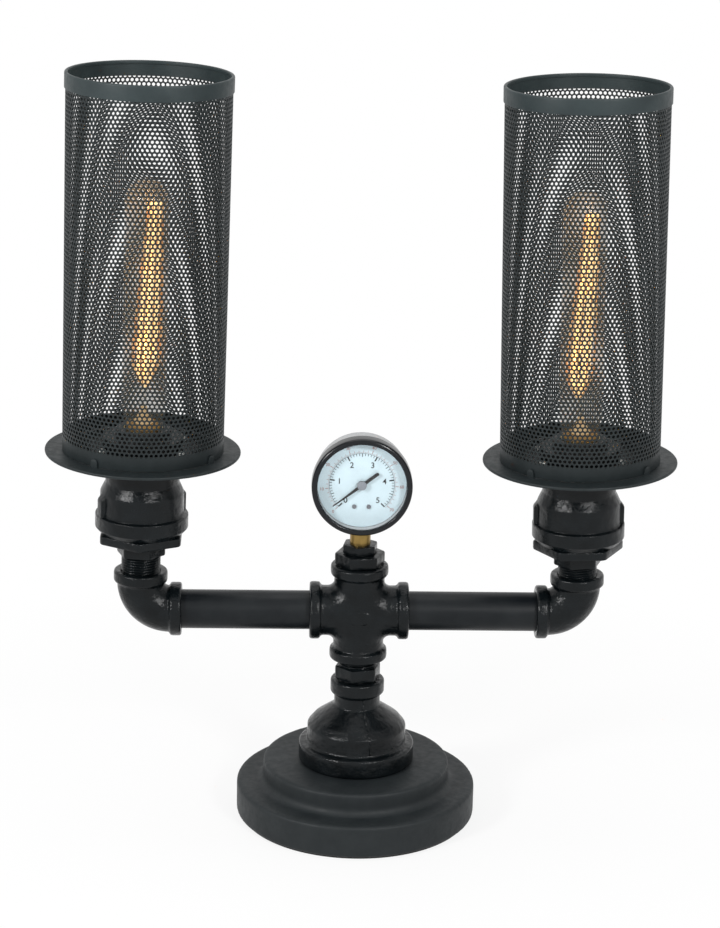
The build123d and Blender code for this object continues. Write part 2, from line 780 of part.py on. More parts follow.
# ================================================================ bulb
def make_bulb(column):
    x, bulb_bottom, bulb_top, cap_top = column.x, column.bulb_bottom, column.bulb_top, column.cap_top
    with BuildPart() as bulb_cap:
        turned([
            (0, bulb_bottom), (cap_contact_radius, bulb_bottom),
            (cap_contact_radius, bulb_bottom + cap_contact_height),
            (cap_radius - cap_insulator_in, bulb_bottom + cap_insulator_top),
            (cap_radius, bulb_bottom + cap_shell_bottom), (cap_radius, cap_top),
            (cap_radius - cap_wall, cap_top), (cap_radius - cap_wall, bulb_bottom + cap_floor),
            (0, bulb_bottom + cap_floor),
        ], x)
    column.finish(bulb_cap.part, "bulb_cap")

    glass_bottom = cap_top - glass_overlap
    shoulder = cap_top + bulb_taper
    dome = bulb_top - bulb_radius
    inner = bulb_radius - bulb_wall
    neck_inner = bulb_neck_radius - bulb_wall
    with BuildPart() as bulb_glass:
        with BuildSketch(column_plane(x)):
            with BuildLine():
                Polyline((bulb_neck_radius, glass_bottom), (bulb_neck_radius, cap_top),
                         (bulb_radius, shoulder), (bulb_radius, dome))
                RadiusArc((bulb_radius, dome), (0, bulb_top), -bulb_radius)
                Line((0, bulb_top), (0, bulb_top - bulb_wall))
                RadiusArc((0, bulb_top - bulb_wall), (inner, dome), inner)
                Polyline((inner, dome), (inner, shoulder), (neck_inner, cap_top),
                         (neck_inner, glass_bottom), (bulb_neck_radius, glass_bottom))
            make_face()
        revolve(axis=Axis((x, 0, 0), (0, 0, 1)))
    column.finish(bulb_glass.part, "bulb_glass")

    mount_top = cap_top + mount_height
    hook_top = cap_top + mount_hook_height
    with BuildPart() as bulb_mount:
        turned([
            (0, glass_bottom), (mount_flare_radius, glass_bottom),
            (mount_flare_radius, glass_bottom + mount_flare_thickness),
            (mount_waist_radius, glass_bottom + mount_waist_height),
            (mount_stem_radius, glass_bottom + mount_stem_bottom), (mount_stem_radius, mount_top),
            (mount_rod_radius, mount_top + mount_rod_taper), (mount_rod_radius, hook_top), (0, hook_top),
        ], x)
    column.finish(bulb_mount.part, "bulb_mount")

    low = mount_top + filament_foot_gap
    high = hook_top - filament_head_gap
    with BuildPart() as bulb_filament:
        for strand in range(filament_strands):
            angle = radians(360 / filament_strands * (strand + 0.5))
            foot = (x + filament_spread_bottom * cos(angle), filament_spread_bottom * sin(angle), low)
            head = (x + filament_spread_top * cos(angle), filament_spread_top * sin(angle), high)
            with BuildLine() as path:
                Line(foot, head)
            with BuildSketch(Plane(origin=foot, z_dir=path.line % 0)):
                Circle(filament_radius)
            sweep(path=path.line)
        for height, spread, play in ((low, filament_spread_bottom, filament_ring_play),
                                     (high, filament_spread_top, 0)):
            with BuildSketch(Plane(origin=(x, 0, height))):
                Circle(spread + filament_radius)
                Circle(mount_rod_radius + play, mode=Mode.SUBTRACT)
            extrude(amount=filament_radius, both=True)
    column.finish(bulb_filament.part, "bulb_filament")


# ================================================================ shade
def make_shade(column):
    x = column.x
    bottom = column.plate_top + shade_rest_gap
    top = column.plate_top + shade_height
    ring_bottom = top - shade_ring_height
    lip_bottom = top - shade_lip
    # openings: staggered rows of round holes that fill the height between the two plain bands
    holes_bottom = bottom + shade_foot_band + shade_hole_radius
    holes_top = ring_bottom - shade_head_band - shade_hole_radius
    row_pitch = (holes_top - holes_bottom) / (shade_hole_rows - 0.5)
    with BuildPart() as shade_sheet:
        turned(tube_outline(shade_radius, shade_radius - shade_wall, bottom, lip_bottom - shade_lip_gap), x)
        for hole_column in range(shade_hole_columns // 2):
            angle = radians(hole_column * 360 / shade_hole_columns)
            stagger = row_pitch / 4 * (-1) ** hole_column
            across = Plane(origin=(x, 0, (holes_bottom + holes_top) / 2 + stagger),
                           x_dir=(-sin(angle), cos(angle), 0), z_dir=(cos(angle), sin(angle), 0))
            with BuildSketch(across):
                with GridLocations(0, row_pitch, 1, shade_hole_rows):
                    Circle(shade_hole_radius)
            extrude(amount=shade_radius + cut_over, both=True, mode=Mode.SUBTRACT)
    column.finish(shade_sheet.part, "shade_sheet")

    ring_bore = shade_radius + shade_ring_play
    with BuildPart() as shade_ring:
        turned([
            (ring_bore, ring_bottom), (shade_ring_radius, ring_bottom),
            (shade_ring_radius, top - shade_ring_edge), (shade_ring_radius - shade_ring_edge, top),
            (shade_ring_inner, top), (shade_ring_inner, lip_bottom), (ring_bore, lip_bottom),
        ], x)
    column.finish(shade_ring.part, "shade_ring")


# ================================================================ gauge
def gauge_plane(front=0.0):
    """Drawing plane of the dial: local x is right, local y is up, and it faces the front."""
    return Plane(origin=(0, -front, gauge_centre), x_dir=(1, 0, 0), z_dir=(0, -1, 0))


def disc_of_profile(outline):
    """Revolve (radius, distance before the stem's axis) points about the dial's axis."""
    with BuildSketch(Plane(origin=(0, 0, gauge_centre), x_dir=(0, 0, 1), z_dir=(1, 0, 0))) as profile:
        with BuildLine():
            Polyline(*outline, close=True)
        make_face()
    revolve(profile.sketch, axis=Axis((0, 0, gauge_centre), (0, 1, 0)))


def gear_outline(teeth, first, last, root, tip):
    """Corner points of straight-sided teeth with their centres from the first to the last angle."""
    pitch = 360 / teeth
    half = pitch * tooth_share / 2
    points = []
    for tooth in range(round((last - first) / pitch) + 1):
        centre = first + tooth * pitch
        corners = ((root, -tooth_root_share), (tip, -tooth_tip_share), (tip, tooth_tip_share),
                   (root, tooth_root_share))
        for radius, shift in corners:
            angle = radians(centre + shift * half)
            points.append((radius * cos(angle), radius * sin(angle)))
    return points


pinion_radius = gear_module * pinion_teeth / 2
sector_radius = gear_module * sector_teeth / 2
sector_pivot = -(pinion_radius + sector_radius)
tail_pin = (sector_tail * cos(radians(sector_tail_angle)),
            sector_pivot + sector_tail * sin(radians(sector_tail_angle)))
tube_start = 270 - degrees(asin(tube_start_inset / tube_path_radius))
dial_face = dial_depth + dial_thickness
pointer_back = dial_face + pointer_gap


def make_bourdon_tube():
    with BuildPart() as bourdon_tube:
        with BuildLine(gauge_plane()) as path:
            CenterArc((0, 0), tube_path_radius, tube_start, -tube_start)
        with BuildSketch(Plane(origin=(tube_path_radius, 0, gauge_centre), z_dir=(0, 0, 1))):
            RectangleRounded(tube_thickness, tube_width, tube_corner)
            RectangleRounded(tube_thickness - 2 * tube_wall, tube_width - 2 * tube_wall,
                             tube_corner - tube_wall, mode=Mode.SUBTRACT)
        sweep(path=path.line)
    finish(bourdon_tube.part, "bourdon_tube")


def make_gauge_body():
    case_inside = gauge_case_radius - gauge_case_wall
    tube_side = -socket_half_width - socket_tube_side
    tube_end = tube_grip - tube_start_inset
    with BuildPart() as gauge_stem:
        with BuildSketch(Plane.XY.offset(small_hex_top - stem_thread_length)):
            Circle(stem_thread_radius)
        extrude(amount=stem_thread_length)
        with BuildSketch(Plane.XY.offset(small_hex_top)):
            Circle(stem_radius)
            Rectangle(stem_flats, 2 * stem_radius, mode=Mode.INTERSECT)
        extrude(amount=gauge_centre - gauge_case_radius + stem_case_entry - small_hex_top)
        with BuildSketch(gauge_plane()):
            with BuildLine():
                Polyline((tube_side, socket_corner), (tube_side, socket_shoulder_top),
                         (tube_end, socket_shoulder_top), (tube_end, socket_top),
                         (socket_half_width, socket_top), (socket_half_width, socket_corner),
                         (socket_foot_half_width, socket_foot), (-socket_foot_half_width, socket_foot),
                         close=True)
            make_face()
            Circle(case_inside - screw_fit, mode=Mode.INTERSECT)
        extrude(amount=socket_half_depth, both=True)
        with BuildSketch(gauge_plane()):
            with BuildLine():
                outer = tube_path_radius + tube_thickness / 2
                inner = tube_path_radius - tube_thickness / 2
                far = tube_start - tube_grip_angle
                wrap = CenterArc((0, 0), outer, tube_start, -tube_grip_angle)
                back = CenterArc((0, 0), inner, far, tube_grip_angle)
                Line(wrap @ 1, back @ 0)
                Line(back @ 1, wrap @ 0)
            make_face()
        extrude(amount=socket_half_depth, both=True, mode=Mode.SUBTRACT)
    finish(gauge_stem.part, "gauge_stem")

    with BuildPart() as gauge_case:
        disc_of_profile([
            (0, -gauge_case_back), (gauge_case_radius - gauge_case_bevel, -gauge_case_back),
            (gauge_case_radius, gauge_case_bevel - gauge_case_back), (gauge_case_radius, gauge_case_front),
            (case_inside, gauge_case_front), (case_inside, gauge_case_wall - gauge_case_back),
            (0, gauge_case_wall - gauge_case_back),
        ])
        with BuildSketch(Plane.XY.offset(gauge_centre - gauge_case_radius - cut_over)):
            Circle(stem_radius + screw_fit)
        extrude(amount=cut_over + stem_hole_depth, mode=Mode.SUBTRACT)
    finish(gauge_case.part, "gauge_case")

    lens_back = gauge_case_front + lens_gap
    lens_front = lens_back + lens_thickness
    with BuildPart() as gauge_lens:
        with BuildSketch(gauge_plane(lens_back)):
            Circle(gauge_case_radius - lens_gap)
        extrude(amount=lens_thickness)
    finish(gauge_lens.part, "gauge_lens")

    groove = gauge_case_radius + bezel_fit
    bezel_seat = lens_front + bezel_fit
    with BuildPart() as gauge_bezel:
        disc_of_profile([
            (groove, bezel_back), (bezel_radius - bezel_edge, bezel_back),
            (bezel_radius, bezel_back + bezel_edge), (bezel_radius, bezel_front - bezel_roll_height),
            (bezel_radius - bezel_roll_in, bezel_front - bezel_edge),
            (bezel_radius - bezel_crown_in, bezel_front),
            (bezel_opening_radius + bezel_lip_in, bezel_front - bezel_lip_drop),
            (bezel_opening_radius, bezel_front - bezel_mouth_drop), (bezel_opening_radius, bezel_seat),
            (groove, bezel_seat),
        ])
    finish(gauge_bezel.part, "gauge_bezel")

    with BuildPart() as gauge_dial:
        with BuildSketch(gauge_plane(dial_depth)):
            Circle(dial_radius)
            Circle(dial_hole_radius, mode=Mode.SUBTRACT)
            with Locations((0, -dial_screw_drop)):
                with GridLocations(dial_screw_spacing, 1, 2, 1):
                    Circle(dial_screw_radius + screw_fit, mode=Mode.SUBTRACT)
        extrude(amount=dial_thickness)
    finish(gauge_dial.part, "gauge_dial")

    with BuildPart() as dial_screws:
        with BuildSketch(gauge_plane(dial_face)):
            with Locations((0, -dial_screw_drop)):
                with GridLocations(dial_screw_spacing, 1, 2, 1):
                    Circle(dial_screw_head_radius)
        extrude(amount=dial_screw_head_height)
        with BuildSketch(gauge_plane(dial_face)):
            with Locations((0, -dial_screw_drop)):
                with GridLocations(dial_screw_spacing, 1, 2, 1):
                    Circle(dial_screw_radius)
        extrude(amount=-dial_thickness - dial_screw_bite)
    finish(dial_screws.part, "dial_screws")


def make_gauge_movement():
    front_plate = socket_half_depth + movement_plate_thickness
    with BuildPart() as movement_frame:
        for start in (-front_plate, socket_half_depth):
            with BuildSketch(gauge_plane(start)):
                with Locations((0, (movement_plate_top + movement_plate_bottom) / 2)):
                    RectangleRounded(2 * movement_plate_half_width,
                                     movement_plate_top - movement_plate_bottom, movement_plate_corner)
                Circle(spindle_radius + bearing_fit, mode=Mode.SUBTRACT)
                with Locations((0, sector_pivot)):
                    Circle(arbor_radius + bearing_fit, mode=Mode.SUBTRACT)
            extrude(amount=movement_plate_thickness)
        with BuildSketch(gauge_plane(-socket_half_depth)):
            with Locations((0, movement_pillar_height)):
                with GridLocations(2 * movement_pillar_offset, 1, 2, 1):
                    Circle(movement_pillar_radius)
        extrude(amount=2 * socket_half_depth)
        with BuildSketch(gauge_plane(front_plate)):
            with Locations((0, -dial_screw_drop)):
                with GridLocations(dial_screw_spacing, 1, 2, 1):
                    Circle(movement_pillar_radius)
        extrude(amount=dial_depth - front_plate)
        with BuildSketch(gauge_plane(dial_depth)):
            with Locations((0, -dial_screw_drop)):
                with GridLocations(dial_screw_spacing, 1, 2, 1):
                    Circle(dial_screw_radius + thread_fit)
        extrude(amount=-dial_screw_bite - hole_play, mode=Mode.SUBTRACT)
    finish(movement_frame.part, "movement_frame")

    root = pinion_radius - tooth_root_depth * gear_module
    tip = pinion_radius + tooth_tip_height * gear_module
    pitch = 360 / pinion_teeth
    rest = 90 + pitch / 2
    with BuildPart() as pinion_spindle:
        with BuildSketch(gauge_plane(-pinion_width / 2)):
            with BuildLine():
                Polyline(*gear_outline(pinion_teeth, rest, rest + 360 - pitch, root, tip), close=True)
            make_face()
        extrude(amount=pinion_width)
        with BuildSketch(gauge_plane(-front_plate)):
            Circle(spindle_radius)
        extrude(amount=front_plate + pointer_back)
    finish(pinion_spindle.part, "pinion_spindle")

    sector_root = sector_radius - tooth_root_depth * gear_module
    sector_tip = sector_radius + tooth_tip_height * gear_module
    pitch = 360 / sector_teeth
    first = 90 - pitch * round((90 - sector_first_angle) / pitch)
    last = 90 + pitch * round((sector_last_angle - 90) / pitch)
    pivot_plane = Plane(gauge_plane(-sector_thickness / 2).from_local_coords((0, sector_pivot, 0)),
                        x_dir=(1, 0, 0), z_dir=(0, -1, 0))
    tail_x, tail_y = tail_pin[0], tail_pin[1] - sector_pivot
    with BuildPart() as sector_gear:
        with BuildSketch(pivot_plane):
            with BuildLine():
                teeth = gear_outline(sector_teeth, first, last, sector_root, sector_tip)
                Polyline((0, 0), *teeth, close=True)
            make_face()
            with BuildLine():
                Polyline((-sector_neck_half_width, 0), (tail_x - sector_eye_radius, tail_y),
                         (tail_x + sector_eye_radius, tail_y), (sector_neck_half_width, 0), close=True)
            make_face()
            with Locations((tail_x, tail_y)):
                Circle(sector_eye_radius)
            Circle(sector_hub_radius)
        extrude(amount=sector_thickness)
        with BuildSketch(pivot_plane.offset(sector_thickness / 2 + sector_end_float - front_plate)):
            Circle(arbor_radius)
        extrude(amount=2 * (front_plate - sector_end_float))
        with BuildSketch(pivot_plane):
            with Locations((tail_x, tail_y)):
                Circle(link_pin_radius)
        extrude(amount=sector_thickness / 2 + link_standoff + link_thickness + link_pin_tail)
    finish(sector_gear.part, "sector_gear")

    tip_pin = (tube_path_radius, tip_pin_rise - tip_gap - tip_length)
    across, rise = tip_pin[0] - tail_pin[0], tip_pin[1] - tail_pin[1]
    link_middle = ((tip_pin[0] + tail_pin[0]) / 2, (tip_pin[1] + tail_pin[1]) / 2)
    with BuildPart() as tube_tip:
        with BuildSketch(gauge_plane(-tube_width / 2)):
            with Locations((tube_path_radius, -tip_gap - tip_length / 2)):
                Rectangle(tube_thickness, tip_length)
        extrude(amount=tube_width)
        with BuildSketch(gauge_plane(link_standoff)):
            with Locations(Location(link_middle, degrees(atan2(rise, across)))):
                SlotCenterToCenter(hypot(across, rise), 2 * link_half_width)
            with Locations(tail_pin):
                Circle(link_pin_radius + link_pin_play + link_eye_wall)
                Circle(link_pin_radius + link_pin_play, mode=Mode.SUBTRACT)
        extrude(amount=link_thickness)
    finish(tube_tip.part, "tube_tip")


def make_pointer():
    heading = radians(270 - pointer_rest_angle)
    plane = Plane(gauge_plane(pointer_back).origin, x_dir=(cos(heading), 0, sin(heading)), z_dir=(0, -1, 0))
    with BuildPart() as gauge_pointer:
        with BuildSketch(plane):
            with BuildLine():
                Polyline((-pointer_tail, -pointer_width / 2), (0, -pointer_width / 2),
                         (pointer_length, -pointer_tip_width / 2), (pointer_length, pointer_tip_width / 2),
                         (0, pointer_width / 2), (-pointer_tail, pointer_width / 2), close=True)
            make_face()
            with Locations((-pointer_tail, 0)):
                Circle(pointer_width / 2)
        extrude(amount=pointer_thickness)
        with BuildSketch(plane):
            Circle(pointer_hub_radius)
        extrude(amount=pointer_hub_height)
    finish(gauge_pointer.part, "gauge_pointer")


def make_gauge_bushings():
    with BuildPart() as gauge_bushing_large:
        hexagon(large_hex_flats, large_hex_height, large_hex_bottom, turn=large_hex_turn)
        turned(tube_outline(large_thread_radius, 0, cross_top - port_engagement, large_hex_top - hex_edge))
        turned(tube_outline(small_thread_radius + thread_fit, 0, cross_top - port_engagement, large_hex_top),
               mode=Mode.SUBTRACT)
    finish(gauge_bushing_large.part, "gauge_bushing_large")

    thread_bottom = small_hex_bottom - small_thread_length
    with BuildPart() as gauge_bushing_small:
        hexagon(small_hex_flats, small_hex_height, small_hex_bottom, turn=small_hex_turn)
        turned(tube_outline(small_thread_radius, 0, thread_bottom, small_hex_top - hex_edge))
        turned(tube_outline(stem_thread_radius + thread_fit, 0, thread_bottom, small_hex_top),
               mode=Mode.SUBTRACT)
    finish(gauge_bushing_small.part, "gauge_bushing_small")


# ================================================================ wiring
def make_lead(column):
    stem_x = column.direction * lead_spacing / 2
    floor = base_bottom + lead_floor
    block_face = terminal_setback - terminal_depth / 2 - lead_end_gap
    with BuildPart() as lead:
        with BuildLine() as path:
            FilletPolyline((stem_x, block_face, floor), (stem_x, 0, floor), (stem_x, 0, arm_height),
                           (column.x, 0, arm_height),
                           column.up(column.holder_bottom - lead_end_gap - arm_height), radius=lead_bend)
        with BuildSketch(Plane(origin=path.line @ 0, z_dir=path.line % 0)):
            Circle(lead_radius)
        sweep(path=path.line)
    finish(lead.part, f"lead_{column.side}")


make_base()
make_stem()
for lamp_column in (Column("left", -1), Column("right", 1)):
    make_arm(lamp_column)
    make_column(lamp_column)
    make_bulb(lamp_column)
    make_shade(lamp_column)
    make_lead(lamp_column)
make_gauge_bushings()
make_bourdon_tube()
make_gauge_body()
make_gauge_movement()
make_pointer()
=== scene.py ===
"""Looks of the pipe lamp: perforated shades, cast and threaded fittings, lit bulbs and the dial."""

import json
import math

import bpy
from mathutils import Matrix, Vector


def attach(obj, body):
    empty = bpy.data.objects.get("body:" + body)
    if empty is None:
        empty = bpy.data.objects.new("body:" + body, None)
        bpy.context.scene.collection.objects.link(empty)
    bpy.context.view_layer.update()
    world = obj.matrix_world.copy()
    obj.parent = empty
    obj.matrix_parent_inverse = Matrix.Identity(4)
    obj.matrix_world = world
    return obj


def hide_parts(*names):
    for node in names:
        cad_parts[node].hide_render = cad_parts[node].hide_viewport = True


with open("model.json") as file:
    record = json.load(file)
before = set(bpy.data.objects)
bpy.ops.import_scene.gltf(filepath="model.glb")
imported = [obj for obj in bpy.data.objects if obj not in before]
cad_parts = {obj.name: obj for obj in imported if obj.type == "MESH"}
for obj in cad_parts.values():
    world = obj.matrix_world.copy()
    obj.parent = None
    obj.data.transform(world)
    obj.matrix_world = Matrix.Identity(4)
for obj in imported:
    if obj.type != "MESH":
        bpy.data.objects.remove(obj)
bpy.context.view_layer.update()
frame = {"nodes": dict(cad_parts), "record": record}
nodes = frame["nodes"]
MM = 0.001
SIDES = {"left": -1, "right": 1}

# ------------------------------------------------ columns, in millimetres and degrees
ARM_HEIGHT = 149.0
COLUMN_REACH = 150.0                        # from the stem's axis to a column's, at the arms
LEAN = 1.3                                  # of each column, towards the stem
ELBOW_TOP = 177.5
THREAD_SHOW = {"left": 11.5, "right": 7.5}  # bare thread between the elbow and the hexagon
NIPPLE_HEX = 10.5
BUSHING_HEX = 6.0
COUPLING = 56.0
PLATE = 2.0


def column_x(side):
    """Place of a column's axis, before it leans."""
    return SIDES[side] * COLUMN_REACH


def coupling_foot(side):
    """Height of the coupling's lower face, which is the top of the bushing's hexagon."""
    return ELBOW_TOP + THREAD_SHOW[side] + NIPPLE_HEX + BUSHING_HEX


def plate_top(side):
    """Height of the face that the shade stands on."""
    return coupling_foot(side) + COUPLING + PLATE


def leaning(side):
    """Matrix that leans a piece drawn upright on the column's axis, as the CAD column leans."""
    corner = Matrix.Translation((column_x(side), 0, ARM_HEIGHT))
    return corner @ Matrix.Rotation(math.radians(-SIDES[side] * LEAN), 4, "Y") @ corner.inverted()


# ------------------------------------------------ material helpers
NOISE_LOW, NOISE_HIGH = 0.35, 0.65          # most of a noise texture's values lie between these


def material(name, color, roughness, metallic=0.0, specular=0.5, alpha=1.0, emission=None,
             glow=0.0):
    """A new material, with its node tree and its shader."""
    mat = bpy.data.materials.new(name)
    mat.use_nodes = True
    bsdf = mat.node_tree.nodes["Principled BSDF"]
    bsdf.inputs["Base Color"].default_value = (*color, 1)
    bsdf.inputs["Roughness"].default_value = roughness
    bsdf.inputs["Metallic"].default_value = metallic
    bsdf.inputs["Specular IOR Level"].default_value = specular
    bsdf.inputs["Alpha"].default_value = alpha
    if emission:
        bsdf.inputs["Emission Color"].default_value = (*emission, 1)
        bsdf.inputs["Emission Strength"].default_value = glow
    return mat, mat.node_tree, bsdf


def noise(tree, scale, detail=3.0, roughness=0.55, stretch=None):
    """Noise in the object's own coordinates; scale is in features per metre."""
    coords = tree.nodes.new("ShaderNodeTexCoord")
    source = coords.outputs["Object"]
    if stretch:
        mapping = tree.nodes.new("ShaderNodeMapping")
        mapping.inputs["Scale"].default_value = stretch
        tree.links.new(source, mapping.inputs["Vector"])
        source = mapping.outputs["Vector"]
    texture = tree.nodes.new("ShaderNodeTexNoise")
    texture.inputs["Scale"].default_value = scale
    texture.inputs["Detail"].default_value = detail
    texture.inputs["Roughness"].default_value = roughness
    tree.links.new(source, texture.inputs["Vector"])
    return texture.outputs["Fac"]


def spread(tree, source, low, high, start=NOISE_LOW, end=NOISE_HIGH):
    """Map a value between start and end to a number between low and high."""
    node = tree.nodes.new("ShaderNodeMapRange")
    for key, value in (("From Min", start), ("From Max", end), ("To Min", low), ("To Max", high)):
        node.inputs[key].default_value = value
    tree.links.new(source, node.inputs["Value"])
    return node.outputs["Result"]


def tinted(tree, source, dark, light):
    """Map a noise value to a colour between two colours."""
    ramp = tree.nodes.new("ShaderNodeValToRGB")
    ramp.color_ramp.elements[0].position = NOISE_LOW
    ramp.color_ramp.elements[1].position = NOISE_HIGH
    ramp.color_ramp.elements[0].color = (*dark, 1)
    ramp.color_ramp.elements[1].color = (*light, 1)
    tree.links.new(source, ramp.inputs["Fac"])
    return ramp.outputs["Color"]


def bumps(tree, bsdf, *layers):
    """Stack bump layers of (source, strength, height in metres) on a shader's normal."""
    normal = None
    for source, strength, height in layers:
        bump = tree.nodes.new("ShaderNodeBump")
        bump.inputs["Strength"].default_value = strength
        bump.inputs["Distance"].default_value = height
        tree.links.new(source, bump.inputs["Height"])
        if normal:
            tree.links.new(normal, bump.inputs["Normal"])
        normal = bump.outputs["Normal"]
    tree.links.new(normal, bsdf.inputs["Normal"])


# ------------------------------------------------ materials
TINT_SCALE, GLOSS_SCALE = 60, 220           # features per metre
LUMP_SCALE, SWELL_SCALE, GRAIN_SCALE = 85, 210, 900
LUMP_HEIGHT, SWELL_HEIGHT, GRAIN_HEIGHT = 0.0016, 0.0008, 0.00022           # in metres
ALONG_PIPE, GRAIN_ALONG_PIPE = (0.15, 1, 1), (0.2, 1, 1)
FINE_HEIGHT = 0.0001
PLAIN_DARK = 0.88                           # the darkest shade of a plain finish, as a share
PLAIN_GLOSS = 0.85, 1.15                    # and its least and greatest roughness


def cast_paint(name, dark, light, gloss, rough_low, rough_high, grain, swell, lump=0.0):
    """Paint over metal: colour and gloss that drift, a fine grain, a slow swell and lumps."""
    mat, tree, bsdf = material(name, light, rough_high, specular=gloss)
    tree.links.new(tinted(tree, noise(tree, TINT_SCALE, 4), dark, light), bsdf.inputs["Base Color"])
    tree.links.new(spread(tree, noise(tree, GLOSS_SCALE, 4), rough_low, rough_high),
                   bsdf.inputs["Roughness"])
    bumps(tree, bsdf, (noise(tree, LUMP_SCALE, 2), lump, LUMP_HEIGHT),
          (noise(tree, SWELL_SCALE, 3), swell, SWELL_HEIGHT),
          (noise(tree, GRAIN_SCALE, 3, 0.7), grain, GRAIN_HEIGHT))
    return mat


def pipe_paint(name, dark, light, gloss, rough_low, rough_high):
    """Paint over drawn pipe, whose gloss and grain run along the arms."""
    mat, tree, bsdf = material(name, light, rough_high, specular=gloss)
    tree.links.new(tinted(tree, noise(tree, 40, 3), dark, light), bsdf.inputs["Base Color"])
    tree.links.new(spread(tree, noise(tree, 300, 4, stretch=ALONG_PIPE), rough_low, rough_high),
                   bsdf.inputs["Roughness"])
    bumps(tree, bsdf, (noise(tree, GRAIN_SCALE, 3, stretch=GRAIN_ALONG_PIPE), 0.25, FINE_HEIGHT))
    return mat


def plain(name, color, roughness, scale=500, **more):
    """A finish whose colour, gloss and surface vary a little at one scale."""
    mat, tree, bsdf = material(name, color, roughness, **more)
    dark = tuple(c * PLAIN_DARK for c in color)
    low, high = (roughness * share for share in PLAIN_GLOSS)
    tree.links.new(tinted(tree, noise(tree, scale, 3), dark, color), bsdf.inputs["Base Color"])
    tree.links.new(spread(tree, noise(tree, scale * 2, 2), low, high), bsdf.inputs["Roughness"])
    bumps(tree, bsdf, (noise(tree, scale * 3, 2), 0.15, FINE_HEIGHT))
    return mat


def clear(name, color, roughness, alpha, specular=0.5):
    """Thin glass that shows what is behind it."""
    return material(name, color, roughness, specular=specular, alpha=alpha)[0]


def glowing(name, dim, bright, level):
    """Hot wire, or glass given a painted glow of the filament's light, whose colour drifts along
    its length.
    """
    mat, tree, bsdf = material(name, dim, 0.5, emission=bright, glow=level)
    tree.links.new(tinted(tree, noise(tree, 130, 2), dim, bright), bsdf.inputs["Emission Color"])
    return mat


casting = cast_paint("black_casting", (0.0016, 0.0026, 0.0032), (0.0045, 0.0064, 0.0076), 0.2,
                     0.13, 0.24, grain=0.75, swell=0.6, lump=0.5)
pipe_black = pipe_paint("black_pipe", (0.0045, 0.006, 0.0075), (0.009, 0.011, 0.0125), 0.19,
                        0.3, 0.42)
base_coat = cast_paint("charcoal_base", (0.0095, 0.0125, 0.014), (0.0135, 0.017, 0.0185), 0.26,
                       0.5, 0.6, grain=0.35, swell=0.12)
sheet_coat = cast_paint("charcoal_sheet", (0.0095, 0.0135, 0.0145), (0.014, 0.019, 0.0205), 0.25,
                        0.44, 0.56, grain=0.3, swell=0.1)
# painted light: the rim gets a lighter copy of the sheet's charcoal paint, standing in for the
# light that its band catches
rim_coat_painted_lit = cast_paint("charcoal_rim_painted_lit", (0.016, 0.025, 0.027), (0.022, 0.033, 0.035), 0.3,
                      0.42, 0.54, grain=0.3, swell=0.1)
zinc = plain("zinc_steel", (0.6, 0.62, 0.6), 0.35, metallic=0.6)
phenolic = plain("black_phenolic", (0.012, 0.012, 0.012), 0.35)
rubber = plain("black_rubber", (0.018, 0.018, 0.018), 0.75)
jacket = plain("lead_jacket", (0.03, 0.03, 0.03), 0.6)
cap_metal = plain("cap_metal", (0.72, 0.56, 0.26), 0.28, metallic=1.0)
brass = plain("gauge_brass", (0.3, 0.2, 0.065), 0.33, metallic=1.0)
case_grey = plain("case_grey", (0.46, 0.47, 0.48), 0.34)
bezel_black = plain("bezel_black", (0.004, 0.005, 0.007), 0.18, specular=0.3)
dial_white = plain("dial_white", (0.56, 0.7, 0.76), 0.55, scale=60)
print_black = plain("print_black", (0.006, 0.006, 0.008), 0.6, specular=0.2)
print_red = plain("print_red", (0.32, 0.16, 0.15), 0.6)
pointer_black = plain("pointer_black", (0.004, 0.004, 0.005), 0.5, specular=0.15)
hub_grey = plain("hub_grey", (0.2, 0.22, 0.25), 0.35)
screw_dark = plain("dial_screw", (0.16, 0.17, 0.19), 0.4, metallic=0.6)
lens_glass = clear("lens_glass", (1, 1, 1), 0.03, alpha=0.02, specular=0.3)
amber_glass = clear("amber_glass", (0.3, 0.27, 0.2), 0.05, alpha=0.19)
mount_glass = clear("clear_glass", (0.5, 0.42, 0.28), 0.08, alpha=0.12)
filament_core = glowing("hot_filament", (1.0, 0.72, 0.32), (1.0, 0.86, 0.52), 1.15)
filament_edge = glowing("warm_filament", (0.34, 0.15, 0.05), (0.9, 0.6, 0.27), 0.9)
# painted glow: the glass disc and cone in the bulb's neck give off the filament's light on them as
# emission, though they are no lamp
neck_amber_painted_glow = glowing("neck_amber_painted_glow", (0.14, 0.07, 0.01), (0.3, 0.16, 0.035), 0.9)
neck_pale_painted_glow = glowing("neck_pale_painted_glow", (0.42, 0.28, 0.13), (0.62, 0.44, 0.24), 0.9)

SLOT_LOOKS = {
    "black_casting": casting, "black_pipe": pipe_black, "charcoal_base": base_coat,
    "charcoal_sheet": sheet_coat, "zinc_steel": zinc, "black_phenolic": phenolic,
    "black_rubber": rubber, "lead_jacket": jacket, "cap_metal": cap_metal,
    "amber_glass": amber_glass, "clear_glass": mount_glass, "hot_filament": filament_core,
    "gauge_brass": brass, "case_grey": case_grey, "bezel_black": bezel_black,
    "dial_white": dial_white, "pointer_black": pointer_black,
}
NODE_LOOKS = {"gauge_lens": lens_glass, "dial_screws": screw_dark}
for part in frame["record"]["subparts"]:
    node = nodes[part["node"]]
    look = NODE_LOOKS.get(part["node"], SLOT_LOOKS[part["material_slot"]])
    if not node.material_slots:
        node.data.materials.append(look)
    for place in node.material_slots:
        place.material = look


# ------------------------------------------------ mesh helpers
RING_POINTS = 180                           # round a hexagon, a bore or a thread
WIDE_TURN, SMALL_TURN = 192, 48             # steps round a wide and a small turned piece


